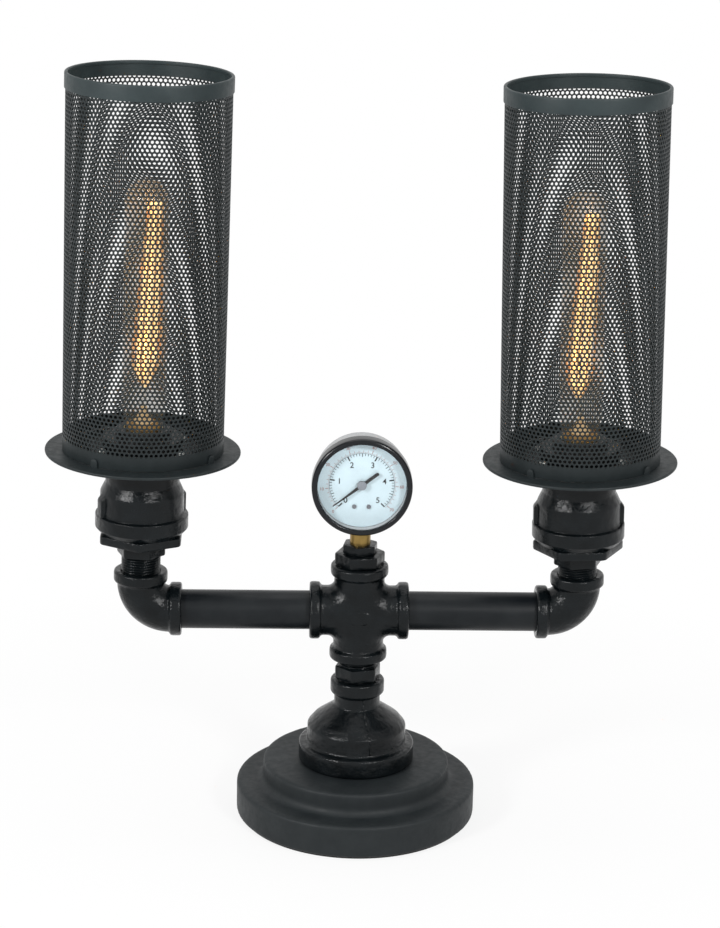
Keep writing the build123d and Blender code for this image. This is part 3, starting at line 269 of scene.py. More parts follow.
def piece(name, verts, faces, look, body, slot, replaced=(), matrix=None, sharp=40.0):
    """Make a piece from millimetre vertices and faces."""
    mesh = bpy.data.meshes.new(name)
    mesh.from_pydata([tuple(v) for v in verts], [], [tuple(f) for f in faces])
    return place_mesh(mesh, name, look, body, replaced, matrix, sharp)


def place_mesh(mesh, name, look, body, replaced=(), matrix=None, sharp=40.0):
    """Shade a millimetre mesh, and let it ride on its body and replace its CAD nodes."""
    mesh.transform(Matrix.Scale(MM, 4) @ (matrix or Matrix.Identity(4)))
    mesh.validate()
    mesh.shade_smooth()
    mesh.set_sharp_from_angle(angle=math.radians(sharp))
    mesh.materials.append(look)
    obj = bpy.data.objects.new(name, mesh)
    bpy.context.scene.collection.objects.link(obj)
    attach(obj, body)
    if replaced:
        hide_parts(*replaced)
    return obj


def loft(rings, closed=True):
    """Quads between rings of points in turn; the last joins the first, or else both are capped."""
    count = len(rings[0])
    verts = [tuple(p) for ring in rings for p in ring]
    faces = []
    for low in range(len(rings) if closed else len(rings) - 1):
        high = (low + 1) % len(rings)
        for i in range(count):
            j = (i + 1) % count
            faces.append((low * count + i, low * count + j, high * count + j, high * count + i))
    if not closed:
        faces += [tuple(reversed(range(count))), tuple(range(len(verts) - count, len(verts)))]
    return verts, faces


def merged(*meshes):
    """Put several (verts, faces) together."""
    verts, faces = [], []
    for more_verts, more_faces in meshes:
        start = len(verts)
        verts += list(more_verts)
        faces += [tuple(i + start for i in f) for f in more_faces]
    return verts, faces


def raised(corners, height):
    """Move (radius, height, rounding) corners up."""
    return [(r, z + height, rounding) for r, z, rounding in corners]


def rounded(corners, steps=5):
    """Closed outline of (radius, height, rounding) corners, each of them rounded off."""
    points = []
    count = len(corners)
    for index, (r, z, rounding) in enumerate(corners):
        here = Vector((r, z))
        if not rounding:
            points.append(here)
            continue
        before = Vector(corners[index - 1][:2]) - here
        after = Vector(corners[(index + 1) % count][:2]) - here
        reach = rounding / math.tan(before.angle(after) / 2)
        start, end = here + before.normalized() * reach, here + after.normalized() * reach
        for step in range(steps + 1):
            t = step / steps
            points.append((1 - t) ** 2 * start + 2 * t * (1 - t) * here + t * t * end)
    return points


def circle(count):
    """Angles, in radians, of evenly spaced points round a circle."""
    return [2 * math.pi * i / count for i in range(count)]


def turned(outline, x, segments):
    """Turn a closed outline of (radius, height) points about the upright axis at x."""
    return loft([[(x + r * math.cos(a), r * math.sin(a), z) for a in circle(segments)]
                 for r, z in outline])


def round_ring(r, z, x):
    """One ring of a bore or a thread's foot."""
    return [(x + r * math.cos(a), r * math.sin(a), z) for a in circle(RING_POINTS)]


# ------------------------------------------------ perforated shades
SHEET_RADIUS = 54.1
SHEET_WALL = 0.6
SHEET_LIFT = 0.3                            # play between the sheet and the plate
SHADE_HEIGHT = 253.0                        # from the plate to the top of the rim
PLAIN_BAND = 9.0                            # without holes, at the foot
BAND_LAP = 0.9                              # of the plain band over the first row's cells
PLAIN_TOP = 4.0                             # without holes, behind the rim
HOLES_ROUND = 106
HOLE_RADIUS = 1.15
HOLE_SIDES = 12
HOLE_ROW = 2.79
SHEET_BANDS = 4
# hexagonal cell round a hole: its corners and the middles of its edges, anticlockwise, in
# quarters of a column and sixths of a row
CELL = ((2, 2), (1, 3), (0, 4), (-1, 3), (-2, 2), (-2, 0),
        (-2, -2), (-1, -3), (0, -4), (1, -3), (2, -2), (2, 0))
RIM_HEIGHT = 10.5
RIM_LIP = 2.4
RIM = [(54.1, -RIM_HEIGHT, 0), (54.9, -RIM_HEIGHT, 0.35), (54.9, 0, 1.2), (52.6, 0, 0.9),
       (52.6, -RIM_LIP, 0.3), (53.3, -RIM_LIP, 0), (53.3, 0.6 - RIM_HEIGHT, 0)]
PLATE_BORE, PLATE_RADIUS, PLATE_EDGE = 21.1, 65.7, 0.9
TAB_TURN = {"left": 57.5, "right": 47.5}
TAB_INSIDE, TAB_MIDDLE, TAB_OUTSIDE = 54.4, 55.0, 55.6
TAB_ACROSS = 7                              # points across a tab
# height over the plate, half of the width, and how much each face is thinned
TAB_LEVELS = ((-0.4, 3.0, 0), (0.6, 2.6, 0), (3.9, 2.4, 0), (5.0, 1.9, 0.1), (5.5, 1.1, 0.3))


def perforated_band(x, bottom, rows, first_row):
    """A band of thick sheet with staggered round holes, each in a hexagonal cell of quads."""
    step = 2 * math.pi / HOLES_ROUND
    faces_at = {True: SHEET_RADIUS, False: SHEET_RADIUS - SHEET_WALL}
    corners = {}
    verts = []
    faces = []

    def corner(u, v, outside):
        """Shared corner of the cells, u quarter columns round and v sixths of a row up."""
        key = (u % (4 * HOLES_ROUND), v, outside)
        if key not in corners:
            r = faces_at[outside]
            a = key[0] / 4 * step
            corners[key] = len(verts)
            verts.append((x + r * math.cos(a), r * math.sin(a), bottom + v / 6 * HOLE_ROW))
        return corners[key]

    for row in range(rows):
        odd = (row + first_row) % 2
        centre_z = bottom + (row + 2 / 3) * HOLE_ROW
        for column in range(HOLES_ROUND):
            centre_a = (column + 0.5 * odd) * step
            hole = {}
            for outside, r in faces_at.items():
                hole[outside] = len(verts)
                for k in range(HOLE_SIDES):
                    angle = (k + 1) * 2 * math.pi / HOLE_SIDES
                    a = centre_a + HOLE_RADIUS * math.cos(angle) / SHEET_RADIUS
                    verts.append((x + r * math.cos(a), r * math.sin(a),
                                  centre_z + HOLE_RADIUS * math.sin(angle)))
            for k in range(HOLE_SIDES):
                n = (k + 1) % HOLE_SIDES
                keys = [(4 * column + 2 * odd + u, 6 * row + 4 + v) for u, v in (CELL[k], CELL[n])]
                out = [corner(*key, True) for key in keys]
                ins = [corner(*key, False) for key in keys]
                faces.append((out[0], out[1], hole[True] + n, hole[True] + k))
                faces.append((ins[1], ins[0], hole[False] + k, hole[False] + n))
                faces.append((hole[True] + k, hole[True] + n, hole[False] + n, hole[False] + k))
    return verts, faces


def make_shade(side):
    """Sheet cylinder, as a plain foot and four perforated bands, and the rim that caps it."""
    x = column_x(side)
    lean = leaning(side)
    body = f"shade_{side}"
    bottom = plate_top(side) + SHEET_LIFT
    top = plate_top(side) + SHADE_HEIGHT
    holes_bottom = bottom + PLAIN_BAND
    foot = [(SHEET_RADIUS - SHEET_WALL, bottom, 0.2), (SHEET_RADIUS, bottom, 0.2),
            (SHEET_RADIUS, holes_bottom + BAND_LAP, 0),
            (SHEET_RADIUS - SHEET_WALL, holes_bottom + BAND_LAP, 0)]
    piece(f"sheet_foot_{side}", *turned(rounded(foot, 3), x, 4 * HOLES_ROUND), sheet_coat, body,
          "charcoal_sheet", matrix=lean)
    rows = int((top - PLAIN_TOP - holes_bottom) / HOLE_ROW)
    done = 0
    for band in range(SHEET_BANDS):
        count = rows * (band + 1) // SHEET_BANDS - done
        mesh = perforated_band(x, holes_bottom + done * HOLE_ROW, count, done)
        piece(f"sheet_band_{side}_{band + 1}", *mesh, sheet_coat, body, "charcoal_sheet",
              [] if band else [f"shade_sheet_{side}"], lean, sharp=50)
        done += count
    # the rim wears the lighter copy of the sheet's paint, which paints in the light it catches
    piece(f"rim_{side}", *turned(rounded(raised(RIM, top)), x, WIDE_TURN), rim_coat_painted_lit, body,
          "charcoal_sheet", [f"shade_ring_{side}"], lean)


def make_tab(side, angle):
    """One of the four tabs that stand round the sheet's foot."""
    x = column_x(side)
    rings = []
    for height, half, thinner in TAB_LEVELS:
        ring = []
        for r, direction in ((TAB_INSIDE + thinner, 1), (TAB_OUTSIDE - thinner, -1)):
            for step in range(TAB_ACROSS):
                u = 2 * step / (TAB_ACROSS - 1) - 1
                a = math.radians(angle) + direction * u * half / TAB_MIDDLE
                ring.append((x + r * math.cos(a), r * math.sin(a), plate_top(side) + height))
        rings.append(ring)
    return loft(rings, closed=False)


def make_plate(side):
    """Round plate that the shade stands on, with its tabs."""
    top = plate_top(side)
    disc = [(PLATE_BORE, top - PLATE, 0), (PLATE_RADIUS, top - PLATE, PLATE_EDGE),
            (PLATE_RADIUS, top, PLATE_EDGE), (PLATE_BORE, top, 0)]
    tabs = [make_tab(side, TAB_TURN[side] + 90 * k) for k in range(4)]
    piece(f"plate_{side}", *merged(turned(rounded(disc), column_x(side), WIDE_TURN), *tabs),
          sheet_coat, "lamp", "charcoal_sheet", [f"shade_plate_{side}"], leaning(side))


# ------------------------------------------------ threaded fittings
PIPE_THREAD = 13.35                         # outer radius of the 3/4 inch thread
PIPE_BORE = 10.45
PIPE_PITCH, PIPE_DEPTH = 1.814, 1.05
BUSHING_THREAD, BUSHING_BORE = 24.1, 13.4
BUSHING_PITCH, BUSHING_DEPTH = 2.209, 1.2
SMALL_THREAD, SMALL_BORE = 10.4, 6.55
SMALL_PITCH, SMALL_DEPTH = 1.337, 0.8
ENGAGED = 13.0                              # length of thread inside the next fitting
THREAD_LAP = 0.5                            # of a thread into its hexagon
THREAD_RINGS = 8                            # per turn of the thread
RIDGE_SLOPE = 1.25                          # above 1, so that the ridges have flat tops
HEX_CORNER = 0.975                          # share of its corner radius that a soft corner keeps
HEX_EDGE = ((0.0, 1.0), (0.25, 0.35), (1.0, 0.0))   # distance from the end, share of the edge cut
NIPPLE_FLATS, BUSHING_FLATS = 29.5, 54.5
NIPPLE_TURN = 10.0
BUSHING_TURN = {"left": 30.0, "right": 0.0}
# hexagons on the stem: across the flats, bottom, top, place on the axis, turn
STEM_HEX = (28.5, 100.5, 109.5, 0, 15)
LARGE_HEX = (30.5, 183.4, 191.4, 0, 8)
SMALL_HEX = (22.0, 191.8, 197.8, 0, 20)


def hex_ring(flats, z, x, turn, shrink):
    """One ring round a hexagon with softened corners, one of them at the angle turn."""
    ring = []
    for a in circle(RING_POINTS):
        local = (a - math.radians(turn)) % (math.pi / 3) - math.pi / 6
        corner = flats / 2 / math.cos(math.pi / 6) * HEX_CORNER
        r = min(flats / 2 / math.cos(local), corner) - shrink
        ring.append((x + r * math.cos(a), r * math.sin(a), z))
    return ring


def hex_block(flats, bottom, top, x, turn, bore, edge=0.7):
    """Hexagonal wrench section with rounded edges and a round bore."""
    rings = [hex_ring(flats, bottom + inset, x, turn, cut * edge) for inset, cut in HEX_EDGE]
    rings += [hex_ring(flats, top - inset, x, turn, cut * edge) for inset, cut in HEX_EDGE[::-1]]
    return loft([round_ring(bore, bottom, x), *rings, round_ring(bore, top, x)])


def thread(major, bore, bottom, top, x=0.0, pitch=PIPE_PITCH, depth=PIPE_DEPTH):
    """Pipe thread: a helical groove cut in a tube's outside."""
    steps = max(2, round((top - bottom) / pitch * THREAD_RINGS))
    rings = [round_ring(bore, bottom, x), round_ring(major - depth, bottom, x)]
    for step in range(steps + 1):
        z = bottom + (top - bottom) * step / steps
        ring = []
        for a in circle(RING_POINTS):
            phase = (z / pitch - a / (2 * math.pi)) % 1.0
            ridge = min(1.0, RIDGE_SLOPE * (1 - abs(2 * phase - 1)))
            r = major - depth * (1 - ridge)
            ring.append((x + r * math.cos(a), r * math.sin(a), z))
        rings.append(ring)
    rings += [round_ring(major - depth, top, x), round_ring(bore, top, x)]
    return loft(rings)


def make_fitting(name, node, *shapes, lean=None):
    """Cast fitting made of a wrench section and its threads, in place of a CAD node."""
    piece(name, *merged(*shapes), casting, "lamp", "black_casting", [node], lean)


def make_fittings():
    """Nipple and bushing of each column, then the stem's nipple and the gauge's two bushings."""
    for side, direction in SIDES.items():
        x = column_x(side)
        lean = leaning(side)
        bottom = ELBOW_TOP + THREAD_SHOW[side]
        middle = bottom + NIPPLE_HEX
        top = coupling_foot(side)
        make_fitting(f"nipple_{side}", f"hex_nipple_{side}",
                     hex_block(NIPPLE_FLATS, bottom, middle, x, NIPPLE_TURN * direction, PIPE_BORE),
                     thread(PIPE_THREAD, PIPE_BORE, ELBOW_TOP - ENGAGED, bottom + THREAD_LAP, x),
                     thread(PIPE_THREAD, PIPE_BORE, middle - THREAD_LAP, middle + ENGAGED, x),
                     lean=lean)
        make_fitting(f"bushing_{side}", f"socket_bushing_{side}",
                     hex_block(BUSHING_FLATS, middle, top, x, BUSHING_TURN[side], BUSHING_BORE,
                               edge=0.9),
                     thread(BUSHING_THREAD, BUSHING_BORE, top - THREAD_LAP, top + ENGAGED, x,
                            BUSHING_PITCH, BUSHING_DEPTH),
                     lean=lean)
    make_fitting("nipple_stem", "stem_nipple",
                 hex_block(*STEM_HEX, PIPE_BORE),
                 thread(PIPE_THREAD, PIPE_BORE, 86.5, 101.0),
                 thread(PIPE_THREAD, PIPE_BORE, 109.0, 128.0))
    make_fitting("bushing_large", "gauge_bushing_large",
                 hex_block(*LARGE_HEX, PIPE_BORE, edge=0.8),
                 thread(13.2, PIPE_BORE, 170.0, 184.0))
    make_fitting("bushing_small", "gauge_bushing_small",
                 hex_block(*SMALL_HEX, SMALL_BORE),
                 thread(SMALL_THREAD, SMALL_BORE, 179.8, 192.4, 0, SMALL_PITCH, SMALL_DEPTH))


# ------------------------------------------------ castings
COUPLING_OUTLINE = [(24.4, 0.1, 0), (28.2, 0.1, 0.6), (31.5, 4.0, 1.0), (31.5, 13.0, 0.8),
                    (28.6, 13.5, 0.5), (28.3, 28.5, 4.0), (25.0, 35.5, 3.0), (24.9, 46.0, 0.3),
                    (27.3, 46.3, 0.6), (27.3, 55.8, 0.6), (21.1, 55.8, 0), (21.1, 39.5, 0),
                    (19.9, 37.5, 0), (22.9, 28.5, 0), (24.4, 12.0, 0)]
COUPLING_POINTS = 288
COUPLING_STEP = 0.9                         # along the outline, so that the ribs are smooth
RIB_TURN = {"left": 25.0, "right": 0.0}
RIB_HALF = 4.2
RIB_RADIUS = 31.0
RIB_BOTTOM, RIB_TOP = 13.0, 29.0
RIB_INSIDE = 26.0                           # the coupling's bore lies inside this radius
RIB_SLOPE = 5.0                             # height of a rib's sloping top
RIB_FLANK = 0.7
SEAM_FOOT = 39.5                            # the reducer's lower face
SEAM_TURN = -75.5                           # of the seam round the stem, from the right
SEAM_LINE = [(r, SEAM_FOOT + up) for r, up in
             ((15.75, 49), (15.8, 41.5), (18.6, 38.9), (29.8, 31.0), (32.4, 28.4), (34.1, 25.6),
              (34.1, 14.2))]
SEAM_STEP = 0.8
SEAM_ACROSS = 7                             # points across the seam
SEAM_SUNK = 0.1


def soften(name, voxel, passes):
    """Give a CAD casting the soft edges of real cast metal."""
    node = nodes[name]
    remesh = node.modifiers.new("cast_skin", "REMESH")
    remesh.mode = "VOXEL"
    remesh.voxel_size = voxel * MM
    remesh.use_smooth_shade = True
    smooth = node.modifiers.new("cast_edges", "SMOOTH")
    smooth.factor = 0.5
    smooth.iterations = passes


def eased(value):
    """Smooth step from 0 to 1."""
    t = min(1.0, max(0.0, value))
    return t * t * (3 - 2 * t)


def make_coupling(side):
    """Cast reducing coupling: banded below, ribbed at two sides, with a rounded shoulder."""
    x = column_x(side)
    foot = coupling_foot(side)
    outline = rounded(COUPLING_OUTLINE, 6)
    turn = math.radians(RIB_TURN[side])
    rings = []
    for index, here in enumerate(outline):
        ahead = outline[(index + 1) % len(outline)]
        parts = max(1, round((ahead - here).length / COUPLING_STEP))
        for r, z in (here.lerp(ahead, step / parts) for step in range(parts)):
            ribbed = RIB_BOTTOM < z < RIB_TOP and r > RIB_INSIDE
            ring = []
            for a in circle(COUPLING_POINTS):
                across = abs((a - turn + math.pi / 2) % math.pi - math.pi / 2) * RIB_RADIUS
                rib = eased((RIB_HALF + RIB_FLANK / 2 - across) / RIB_FLANK)
                rib *= eased((RIB_TOP - z) / RIB_SLOPE)
                reach = max(r, r + (RIB_RADIUS - r) * rib) if ribbed else r
                ring.append((x + reach * math.cos(a), reach * math.sin(a), foot + z))
            rings.append(ring)
    piece(f"coupling_{side}", *loft(rings), casting, "lamp", "black_casting",
          [f"socket_coupling_{side}"], leaning(side), sharp=50)


def make_seam():
    """Uneven parting line of the mould, down the front of the reducer at the foot of the stem."""
    rings = []
    for index, ((r0, z0), (r1, z1)) in enumerate(zip(SEAM_LINE, SEAM_LINE[1:])):
        parts = max(2, round(math.hypot(r1 - r0, z1 - z0) / SEAM_STEP))
        out_z = 0.4 if 0 < index < 4 else 0.0       # on the sloping faces the ridge rises too
        for step in range(parts):
            t = step / parts
            r, z = r0 + (r1 - r0) * t, z0 + (z1 - z0) * t
            wander = 0.35 * math.sin(0.9 * z) + 0.25 * math.sin(2.3 * z + 1)
            blob = 0.45 * max(0.0, math.sin(0.55 * z + 2)) ** 4
            proud = 1.0 + 0.2 * math.sin(1.7 * z) + blob
            half = 0.8 + 0.25 * math.sin(1.3 * z + 0.5)
            ring = []
            for point in range(SEAM_ACROSS):
                u = 2 * point / (SEAM_ACROSS - 1) - 1
                lift = proud * (1 - u * u) - SEAM_SUNK
                a = math.radians(SEAM_TURN) + (u * half + wander) / r
                ring.append(((r + lift) * math.cos(a), (r + lift) * math.sin(a), z + lift * out_z))
            rings.append(ring)
    verts, faces = loft(rings, closed=False)
    piece("reducer_seam", verts, faces, casting, "lamp", "black_casting", sharp=70)


# ------------------------------------------------ bulbs
CAGE_BOTTOM, CAGE_TOP = 43.0, 169.0         # of the filament, above the plate
CAGE_SHIFT = {"left": (0.0, 5.6), "right": (-2.3, 5.2)}     # of its two ends, to the right
CAGE_FOOT = 0.17                            # share of its height below the widest place
CAGE_POINT, CAGE_WIDEST, CAGE_TAPER = 1.4, 10.2, 5.4
CAGE_STEPS = 40
WIRE_SIDES = 8
WIRE_WAVES, WIRE_PHASE = 46, 2.4            # radians over the cage's height, and from wire to wire
WIRE_END = 0.55                             # thickness of a wire's ends, as a share
CAP_OVER_PLATE = 15.3
AXIS_GAP = 0.01                             # a turned outline stops this far from its axis
NECK_DISC = [(AXIS_GAP, 0.2, 0), (11.3, 0.2, 0.5), (11.3, 3.2, 1.2), (AXIS_GAP, 3.2, 0)]
NECK_CONE = [(AXIS_GAP, 3.3, 0), (7.0, 3.3, 0.6), (2.2, 11.5, 2.0), (2.2, 14.0, 0),
             (AXIS_GAP, 14.0, 0)]


def cage_radius(t):
    """Half-width of the filament cage: a short point below, then a long taper to the top."""
    if t < CAGE_FOOT:
        return CAGE_POINT + (CAGE_WIDEST - CAGE_POINT) * math.sin(math.pi / 2 * t / CAGE_FOOT)
    return CAGE_WIDEST - CAGE_TAPER * ((t - CAGE_FOOT) / (1 - CAGE_FOOT)) ** 1.3


def wires(side, count, share, wire, wave):
    """Wires of the cage at a share of its radius, as closed tubes."""
    x = column_x(side)
    shift_low, shift_high = CAGE_SHIFT[side]
    tubes = []
    for k in range(count):
        a = 2 * math.pi * (k + 0.3) / count
        rings = []
        for step in range(CAGE_STEPS + 1):
            t = step / CAGE_STEPS
            r = share * cage_radius(t) + wave * math.sin(WIRE_WAVES * t + WIRE_PHASE * k)
            px = x + shift_low + (shift_high - shift_low) * t + r * math.cos(a)
            height = plate_top(side) + CAGE_BOTTOM + (CAGE_TOP - CAGE_BOTTOM) * t
            thick = wire * (WIRE_END if step in (0, CAGE_STEPS) else 1.0)
            rings.append([(px + thick * math.cos(b), r * math.sin(a) + thick * math.sin(b), height)
                          for b in circle(WIRE_SIDES)])
        tubes.append(loft(rings, closed=False))
    return merged(*tubes)


def make_bulb(side):
    """Lit filament of two cages of wire, and the disc and cone of glass in the bulb's neck, which
    carry a painted glow of the filament's light.
    """
    x = column_x(side)
    lean = leaning(side)
    body = f"bulb_{side}"
    cap_top = plate_top(side) + CAP_OVER_PLATE
    disc = rounded(raised(NECK_DISC, cap_top), 4)
    cone = rounded(raised(NECK_CONE, cap_top), 4)
    piece(f"filament_{side}", *wires(side, 8, share=0.55, wire=1.25, wave=0.45), filament_core,
          body, "hot_filament", [f"bulb_filament_{side}"], lean)
    piece(f"filament_cage_{side}", *wires(side, 9, share=0.93, wire=0.6, wave=0.3), filament_edge,
          body, "hot_filament", matrix=lean)
    piece(f"neck_disc_{side}", *turned(disc, x, SMALL_TURN), neck_amber_painted_glow, body, "amber_glass",
          matrix=lean)
    piece(f"neck_cone_{side}", *turned(cone, x, SMALL_TURN), neck_pale_painted_glow, body, "clear_glass",
          matrix=lean)


# ------------------------------------------------ gauge
GAUGE_CENTRE = 243.0
DIAL_FACE = 10.8                            # in front of the stem's axis
PRINT_LIFT = 0.06
SCALE_START, SCALE_SWEEP = 45.0, 270.0      # clockwise from straight down
INNER_SCALE = 50                            # tenths on the black scale
OUTER_SCALE = 71.1                          # units on the red scale, over the same sweep
# every how many steps of a scale, the radius where the tick starts or ends, and its width
INNER_TICKS = ((10, 18.6, 0.95), (5, 19.6, 0.5), (1, 20.2, 0.36))
OUTER_TICKS = ((10, 24.9, 0.42), (2, 24.1, 0.24))
INNER_TICK_END, OUTER_TICK_START = 21.9, 22.6
ARC_STEP = 2
NUMBER_WEIGHT = 0.012                       # fattening of its strokes, as a share of its size
BEZEL = [(31.6, 8.5, 0.3), (34.0, 8.5, 1.0), (34.0, 19.5, 2.6), (30.4, 19.5, 1.0),
         (29.9, 17.6, 0), (31.6, 17.6, 0)]
HUB = [(AXIS_GAP, 13.0, 0), (3.2, 13.0, 0), (3.2, 14.15, 0.5), (AXIS_GAP, 14.2, 0)]


def turned_to_front(outline, segments):
    """Turn a closed outline of (radius, distance to the front) points about the dial's axis."""
    return loft([[(r * math.sin(a), -y, GAUGE_CENTRE + r * math.cos(a)) for a in circle(segments)]
                 for r, y in outline])


def dial_point(angle, radius):
    """Point on the dial at an angle clockwise from straight down, as seen from the front."""
    a = math.radians(angle)
    return -radius * math.sin(a), -radius * math.cos(a)


def scale_angle(share):
    """Angle of a place on the scale, from 0 at its start to 1 at its end."""
    return SCALE_START + SCALE_SWEEP * share


def dial_print(name, look, shapes):
    """Flat printed shapes, each a list of (x, y) dial points, just proud of the dial's face."""
    verts, faces = [], []
    for shape in shapes:
        start = len(verts)
        verts += [(px, -(DIAL_FACE + PRINT_LIFT), GAUGE_CENTRE + py) for px, py in shape]
        faces.append(tuple(range(start, start + len(shape))))
    piece(name, verts, faces, look, "lamp", "dial_white")


def tick(angle, inner, outer, width):
    """Four corners of a tick between two radii."""
    ax, ay = dial_point(angle, inner)
    bx, by = dial_point(angle, outer)
    nx, ny = by - ay, ax - bx
    length = math.hypot(nx, ny)
    nx, ny = nx / length * width / 2, ny / length * width / 2
    return [(ax - nx, ay - ny), (bx - nx, by - ny), (bx + nx, by + ny), (ax + nx, ay + ny)]


def arc(radius, width):
    """Short quads that make up a printed arc over the whole scale."""
    quads = []
    for step in range(round(SCALE_SWEEP / ARC_STEP)):
        a, b = SCALE_START + ARC_STEP * step, SCALE_START + ARC_STEP * (step + 1)
        quads.append([dial_point(a, radius), dial_point(b, radius), dial_point(b, radius + width),
                      dial_point(a, radius + width)])
    return quads


def dial_number(name, value, share, radius, size, look):
    """One upright number on the dial, as flat geometry."""
    curve = bpy.data.curves.new(f"number_{value}", "FONT")
    curve.body = str(value)
    curve.size = size
    curve.offset = size * NUMBER_WEIGHT
    curve.align_x = "CENTER"
    curve.align_y = "CENTER"
    holder = bpy.data.objects.new(f"number_{value}", curve)
    bpy.context.scene.collection.objects.link(holder)
    bpy.context.view_layer.update()
    shaped = holder.evaluated_get(bpy.context.evaluated_depsgraph_get())
    mesh = bpy.data.meshes.new_from_object(shaped)
    bpy.data.objects.remove(holder)
    px, py = dial_point(scale_angle(share), radius)
    xs = [v.co.x for v in mesh.vertices]
    ys = [v.co.y for v in mesh.vertices]
    middle = Vector(((min(xs) + max(xs)) / 2, (min(ys) + max(ys)) / 2, 0))
    upright = Matrix(((1, 0, 0, px), (0, 0, -1, -(DIAL_FACE + PRINT_LIFT)),
                      (0, 1, 0, GAUGE_CENTRE + py), (0, 0, 0, 1)))
    place_mesh(mesh, name, look, "lamp", matrix=upright @ Matrix.Translation(-middle))


def tick_size(step, sizes):
    """Radius and width of the tick at a step of a scale."""
    return next((radius, width) for every, radius, width in sizes if step % every == 0)


def make_gauge():
    """Generic print of the dial, the bezel and the pointer's hub."""
    blacks = []
    for step in range(INNER_SCALE + 1):
        start, width = tick_size(step, INNER_TICKS)
        blacks.append(tick(scale_angle(step / INNER_SCALE), start, INNER_TICK_END, width))
    reds = []
    for step in range(0, int(OUTER_SCALE), 2):
        end, width = tick_size(step, OUTER_TICKS)
        reds.append(tick(scale_angle(step / OUTER_SCALE), OUTER_TICK_START, end, width))
    dial_print("dial_arc_inner", print_black, arc(21.8, 0.24))
    dial_print("dial_arc_outer", print_red, arc(22.6, 0.16))
    dial_print("dial_ticks_black", print_black, blacks)
    dial_print("dial_ticks_red", print_red, reds)
    for value in range(6):
        dial_number(f"dial_number_{value}", value, 10 * value / INNER_SCALE, radius=15.4, size=5.6,
                    look=print_black)
    for value in range(0, 80, 10):
        dial_number(f"dial_outer_number_{value}", value, value / OUTER_SCALE, radius=27.0, size=3.0,
                    look=print_red)
    piece("bezel", *turned_to_front(rounded(BEZEL, 8), 160), bezel_black, "lamp", "bezel_black",
          ["gauge_bezel"])
    piece("pointer_hub", *turned_to_front(rounded(HUB, 4), SMALL_TURN), hub_grey, "pointer",
          "pointer_black")


make_gauge()
make_fittings()
make_seam()
for lamp_side in SIDES:
    make_shade(lamp_side)
    make_plate(lamp_side)
    make_bulb(lamp_side)
    soften(f"elbow_{lamp_side}", voxel=0.7, passes=8)
    make_coupling(lamp_side)
soften("cross_fitting", voxel=0.8, passes=8)
soften("base_reducer", voxel=0.8, passes=6)
soften("base_casting", voxel=1.1, passes=8)

# ------------------------------------------------ floor, light and camera, in metres
FLOOR_REACH = 6
FADE_START, FADE_END = 0.12, 0.5            # distances from the lamp
WHITE_NEAR, WHITE_FAR = 0.84, 1.0           # how far the floor has faded to white at those two
WORLD_LEVEL = 0.5
STUDIO_LIGHTS = (                           # name, place, target, size and watts
    ("key", (-1.1, -0.95, 0.9), (0, 0, 0.25), (0.26, 0.3), 14),
    ("fill", (0.7, -1.25, 0.95), (0, 0, 0.25), (0.24, 0.26), 11),
    ("top", (0, 0.3, 2.2), (0, 0, 0.2), (1.6, 1.2), 8),
)
WARM_COLOR = (1.0, 0.55, 0.2)
WARM_WATTS, WARM_RADIUS = 0.03, 0.006
WARM_HEIGHTS = (70, 120, 165)               # along the filament, in millimetres above the plate
CAMERA_DISTANCE = 1.7433
CAMERA_AIM = (0, 0, 0.2542)
CAMERA_ELEVATION, CAMERA_AZIMUTH, CAMERA_ROLL = 17.23, -1.95, 1.19          # in degrees
FOCAL_PIXELS, SHIFT_PIXELS, PHOTO_HEIGHT = 2580.94, -1.82, 928
SENSOR_HEIGHT = 36.0                        # in millimetres


def seen_directly(tree):
    """1 for camera, glossy and transmission rays, and 0 for the rays that light the lamp."""
    path = tree.nodes.new("ShaderNodeLightPath")
    seen = path.outputs["Is Camera Ray"]
    for kind in ("Is Glossy Ray", "Is Transmission Ray"):
        either = tree.nodes.new("ShaderNodeMath")
        either.operation = "MAXIMUM"
        tree.links.new(seen, either.inputs[0])
        tree.links.new(path.outputs[kind], either.inputs[1])
        seen = either.outputs[0]
    return seen


def make_stage():
    """Pale floor that takes the lamp's shadow and fades to the white background."""
    far = FLOOR_REACH
    mesh = bpy.data.meshes.new("floor")
    mesh.from_pydata([(-far, -far, 0), (far, -far, 0), (far, far, 0), (-far, far, 0)], [],
                     [(0, 1, 2, 3)])
    floor = bpy.data.objects.new("floor", mesh)
    bpy.context.scene.collection.objects.link(floor)
    mat, tree, bsdf = material("floor_white", (0.9, 0.9, 0.9), 0.6, specular=0.2)
    mesh.materials.append(mat)
    coords = tree.nodes.new("ShaderNodeTexCoord")
    away = tree.nodes.new("ShaderNodeVectorMath")
    away.operation = "LENGTH"
    tree.links.new(coords.outputs["Object"], away.inputs[0])
    share = tree.nodes.new("ShaderNodeMath")
    share.operation = "MULTIPLY"
    tree.links.new(seen_directly(tree), share.inputs[0])
    tree.links.new(spread(tree, away.outputs["Value"], WHITE_NEAR, WHITE_FAR, FADE_START, FADE_END),
                   share.inputs[1])
    white = tree.nodes.new("ShaderNodeEmission")
    white.inputs["Color"].default_value = (1, 1, 1, 1)
    mix = tree.nodes.new("ShaderNodeMixShader")
    tree.links.new(share.outputs[0], mix.inputs["Fac"])
    tree.links.new(bsdf.outputs[0], mix.inputs[1])
    tree.links.new(white.outputs[0], mix.inputs[2])
    tree.links.new(mix.outputs[0], tree.nodes["Material Output"].inputs["Surface"])


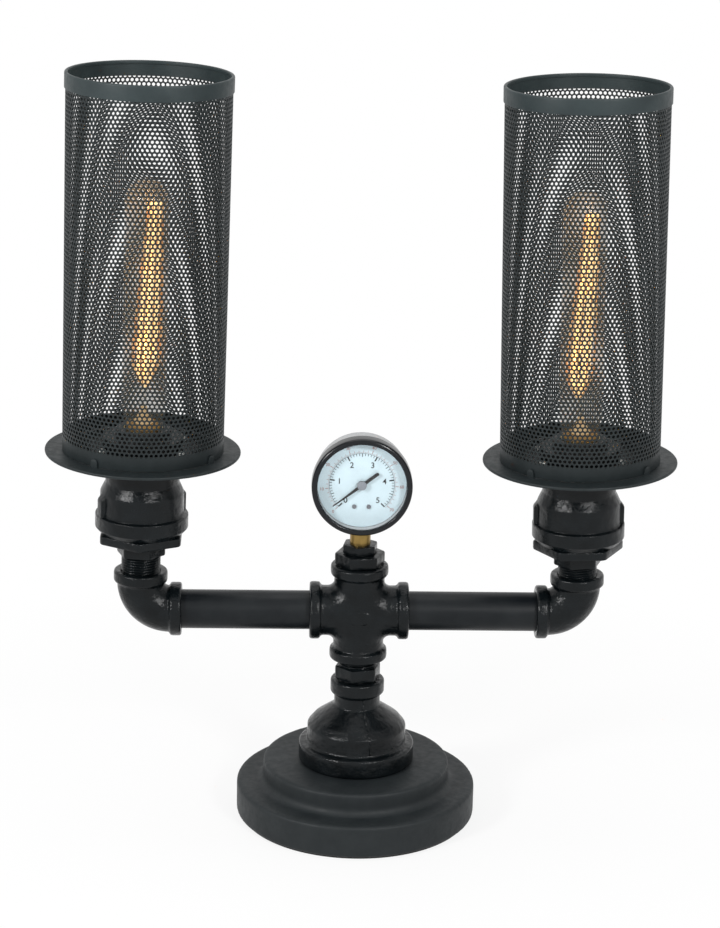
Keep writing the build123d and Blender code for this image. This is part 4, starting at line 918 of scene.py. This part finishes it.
def make_world():
    """White background, which lights the lamp at half of its level."""
    world = bpy.data.worlds.new("studio")
    bpy.context.scene.world = world
    world.use_nodes = True
    tree = world.node_tree
    background = tree.nodes["Background"]
    background.inputs["Color"].default_value = (1, 1, 1, 1)
    tree.links.new(spread(tree, seen_directly(tree), WORLD_LEVEL, 1.0, 0.0, 1.0),
                   background.inputs["Strength"])


def area_light(name, place, target, size, power):
    """Soft rectangular light that faces a target."""
    data = bpy.data.lights.new(name, "AREA")
    data.shape = "RECTANGLE"
    data.size, data.size_y = size
    data.energy = power
    lamp = bpy.data.objects.new(name, data)
    bpy.context.scene.collection.objects.link(lamp)
    lamp.location = place
    lamp.rotation_euler = (Vector(target) - Vector(place)).to_track_quat("-Z", "Y").to_euler()


def warm_light(side, height):
    """Small light in a bulb, for the glow that its filament casts."""
    data = bpy.data.lights.new(f"glow_{side}_{height}", "POINT")
    data.energy = WARM_WATTS
    data.color = WARM_COLOR
    data.shadow_soft_size = WARM_RADIUS
    lamp = bpy.data.objects.new(data.name, data)
    bpy.context.scene.collection.objects.link(lamp)
    lamp.location = (leaning(side) @ Vector((column_x(side), 0, plate_top(side) + height))) * MM


def make_camera():
    """Camera fitted to the photograph's viewing angle and frame."""
    elevation = math.radians(CAMERA_ELEVATION)
    azimuth = math.radians(CAMERA_AZIMUTH)
    roll = math.radians(CAMERA_ROLL)
    back = Vector((math.sin(azimuth) * math.cos(elevation),
                   -math.cos(azimuth) * math.cos(elevation), math.sin(elevation)))
    level_right = Vector((0, 0, 1)).cross(back).normalized()
    level_up = back.cross(level_right)
    right = math.cos(roll) * level_right + math.sin(roll) * level_up
    up = -math.sin(roll) * level_right + math.cos(roll) * level_up
    data = bpy.data.cameras.new("camera")
    data.sensor_fit = "VERTICAL"
    data.sensor_height = SENSOR_HEIGHT
    data.lens = FOCAL_PIXELS / PHOTO_HEIGHT * SENSOR_HEIGHT
    data.shift_x = SHIFT_PIXELS / PHOTO_HEIGHT
    data.clip_end = 20
    camera = bpy.data.objects.new("camera", data)
    bpy.context.scene.collection.objects.link(camera)
    place = Matrix.Translation(Vector(CAMERA_AIM) + back * CAMERA_DISTANCE)
    camera.matrix_world = place @ Matrix((right, up, back)).transposed().to_4x4()
    bpy.context.scene.camera = camera


make_stage()
make_world()
for light in STUDIO_LIGHTS:
    area_light(*light)
for lamp_side in SIDES:
    for level in WARM_HEIGHTS:
        warm_light(lamp_side, level)
make_camera()
bpy.context.scene.view_settings.view_transform = "Standard"
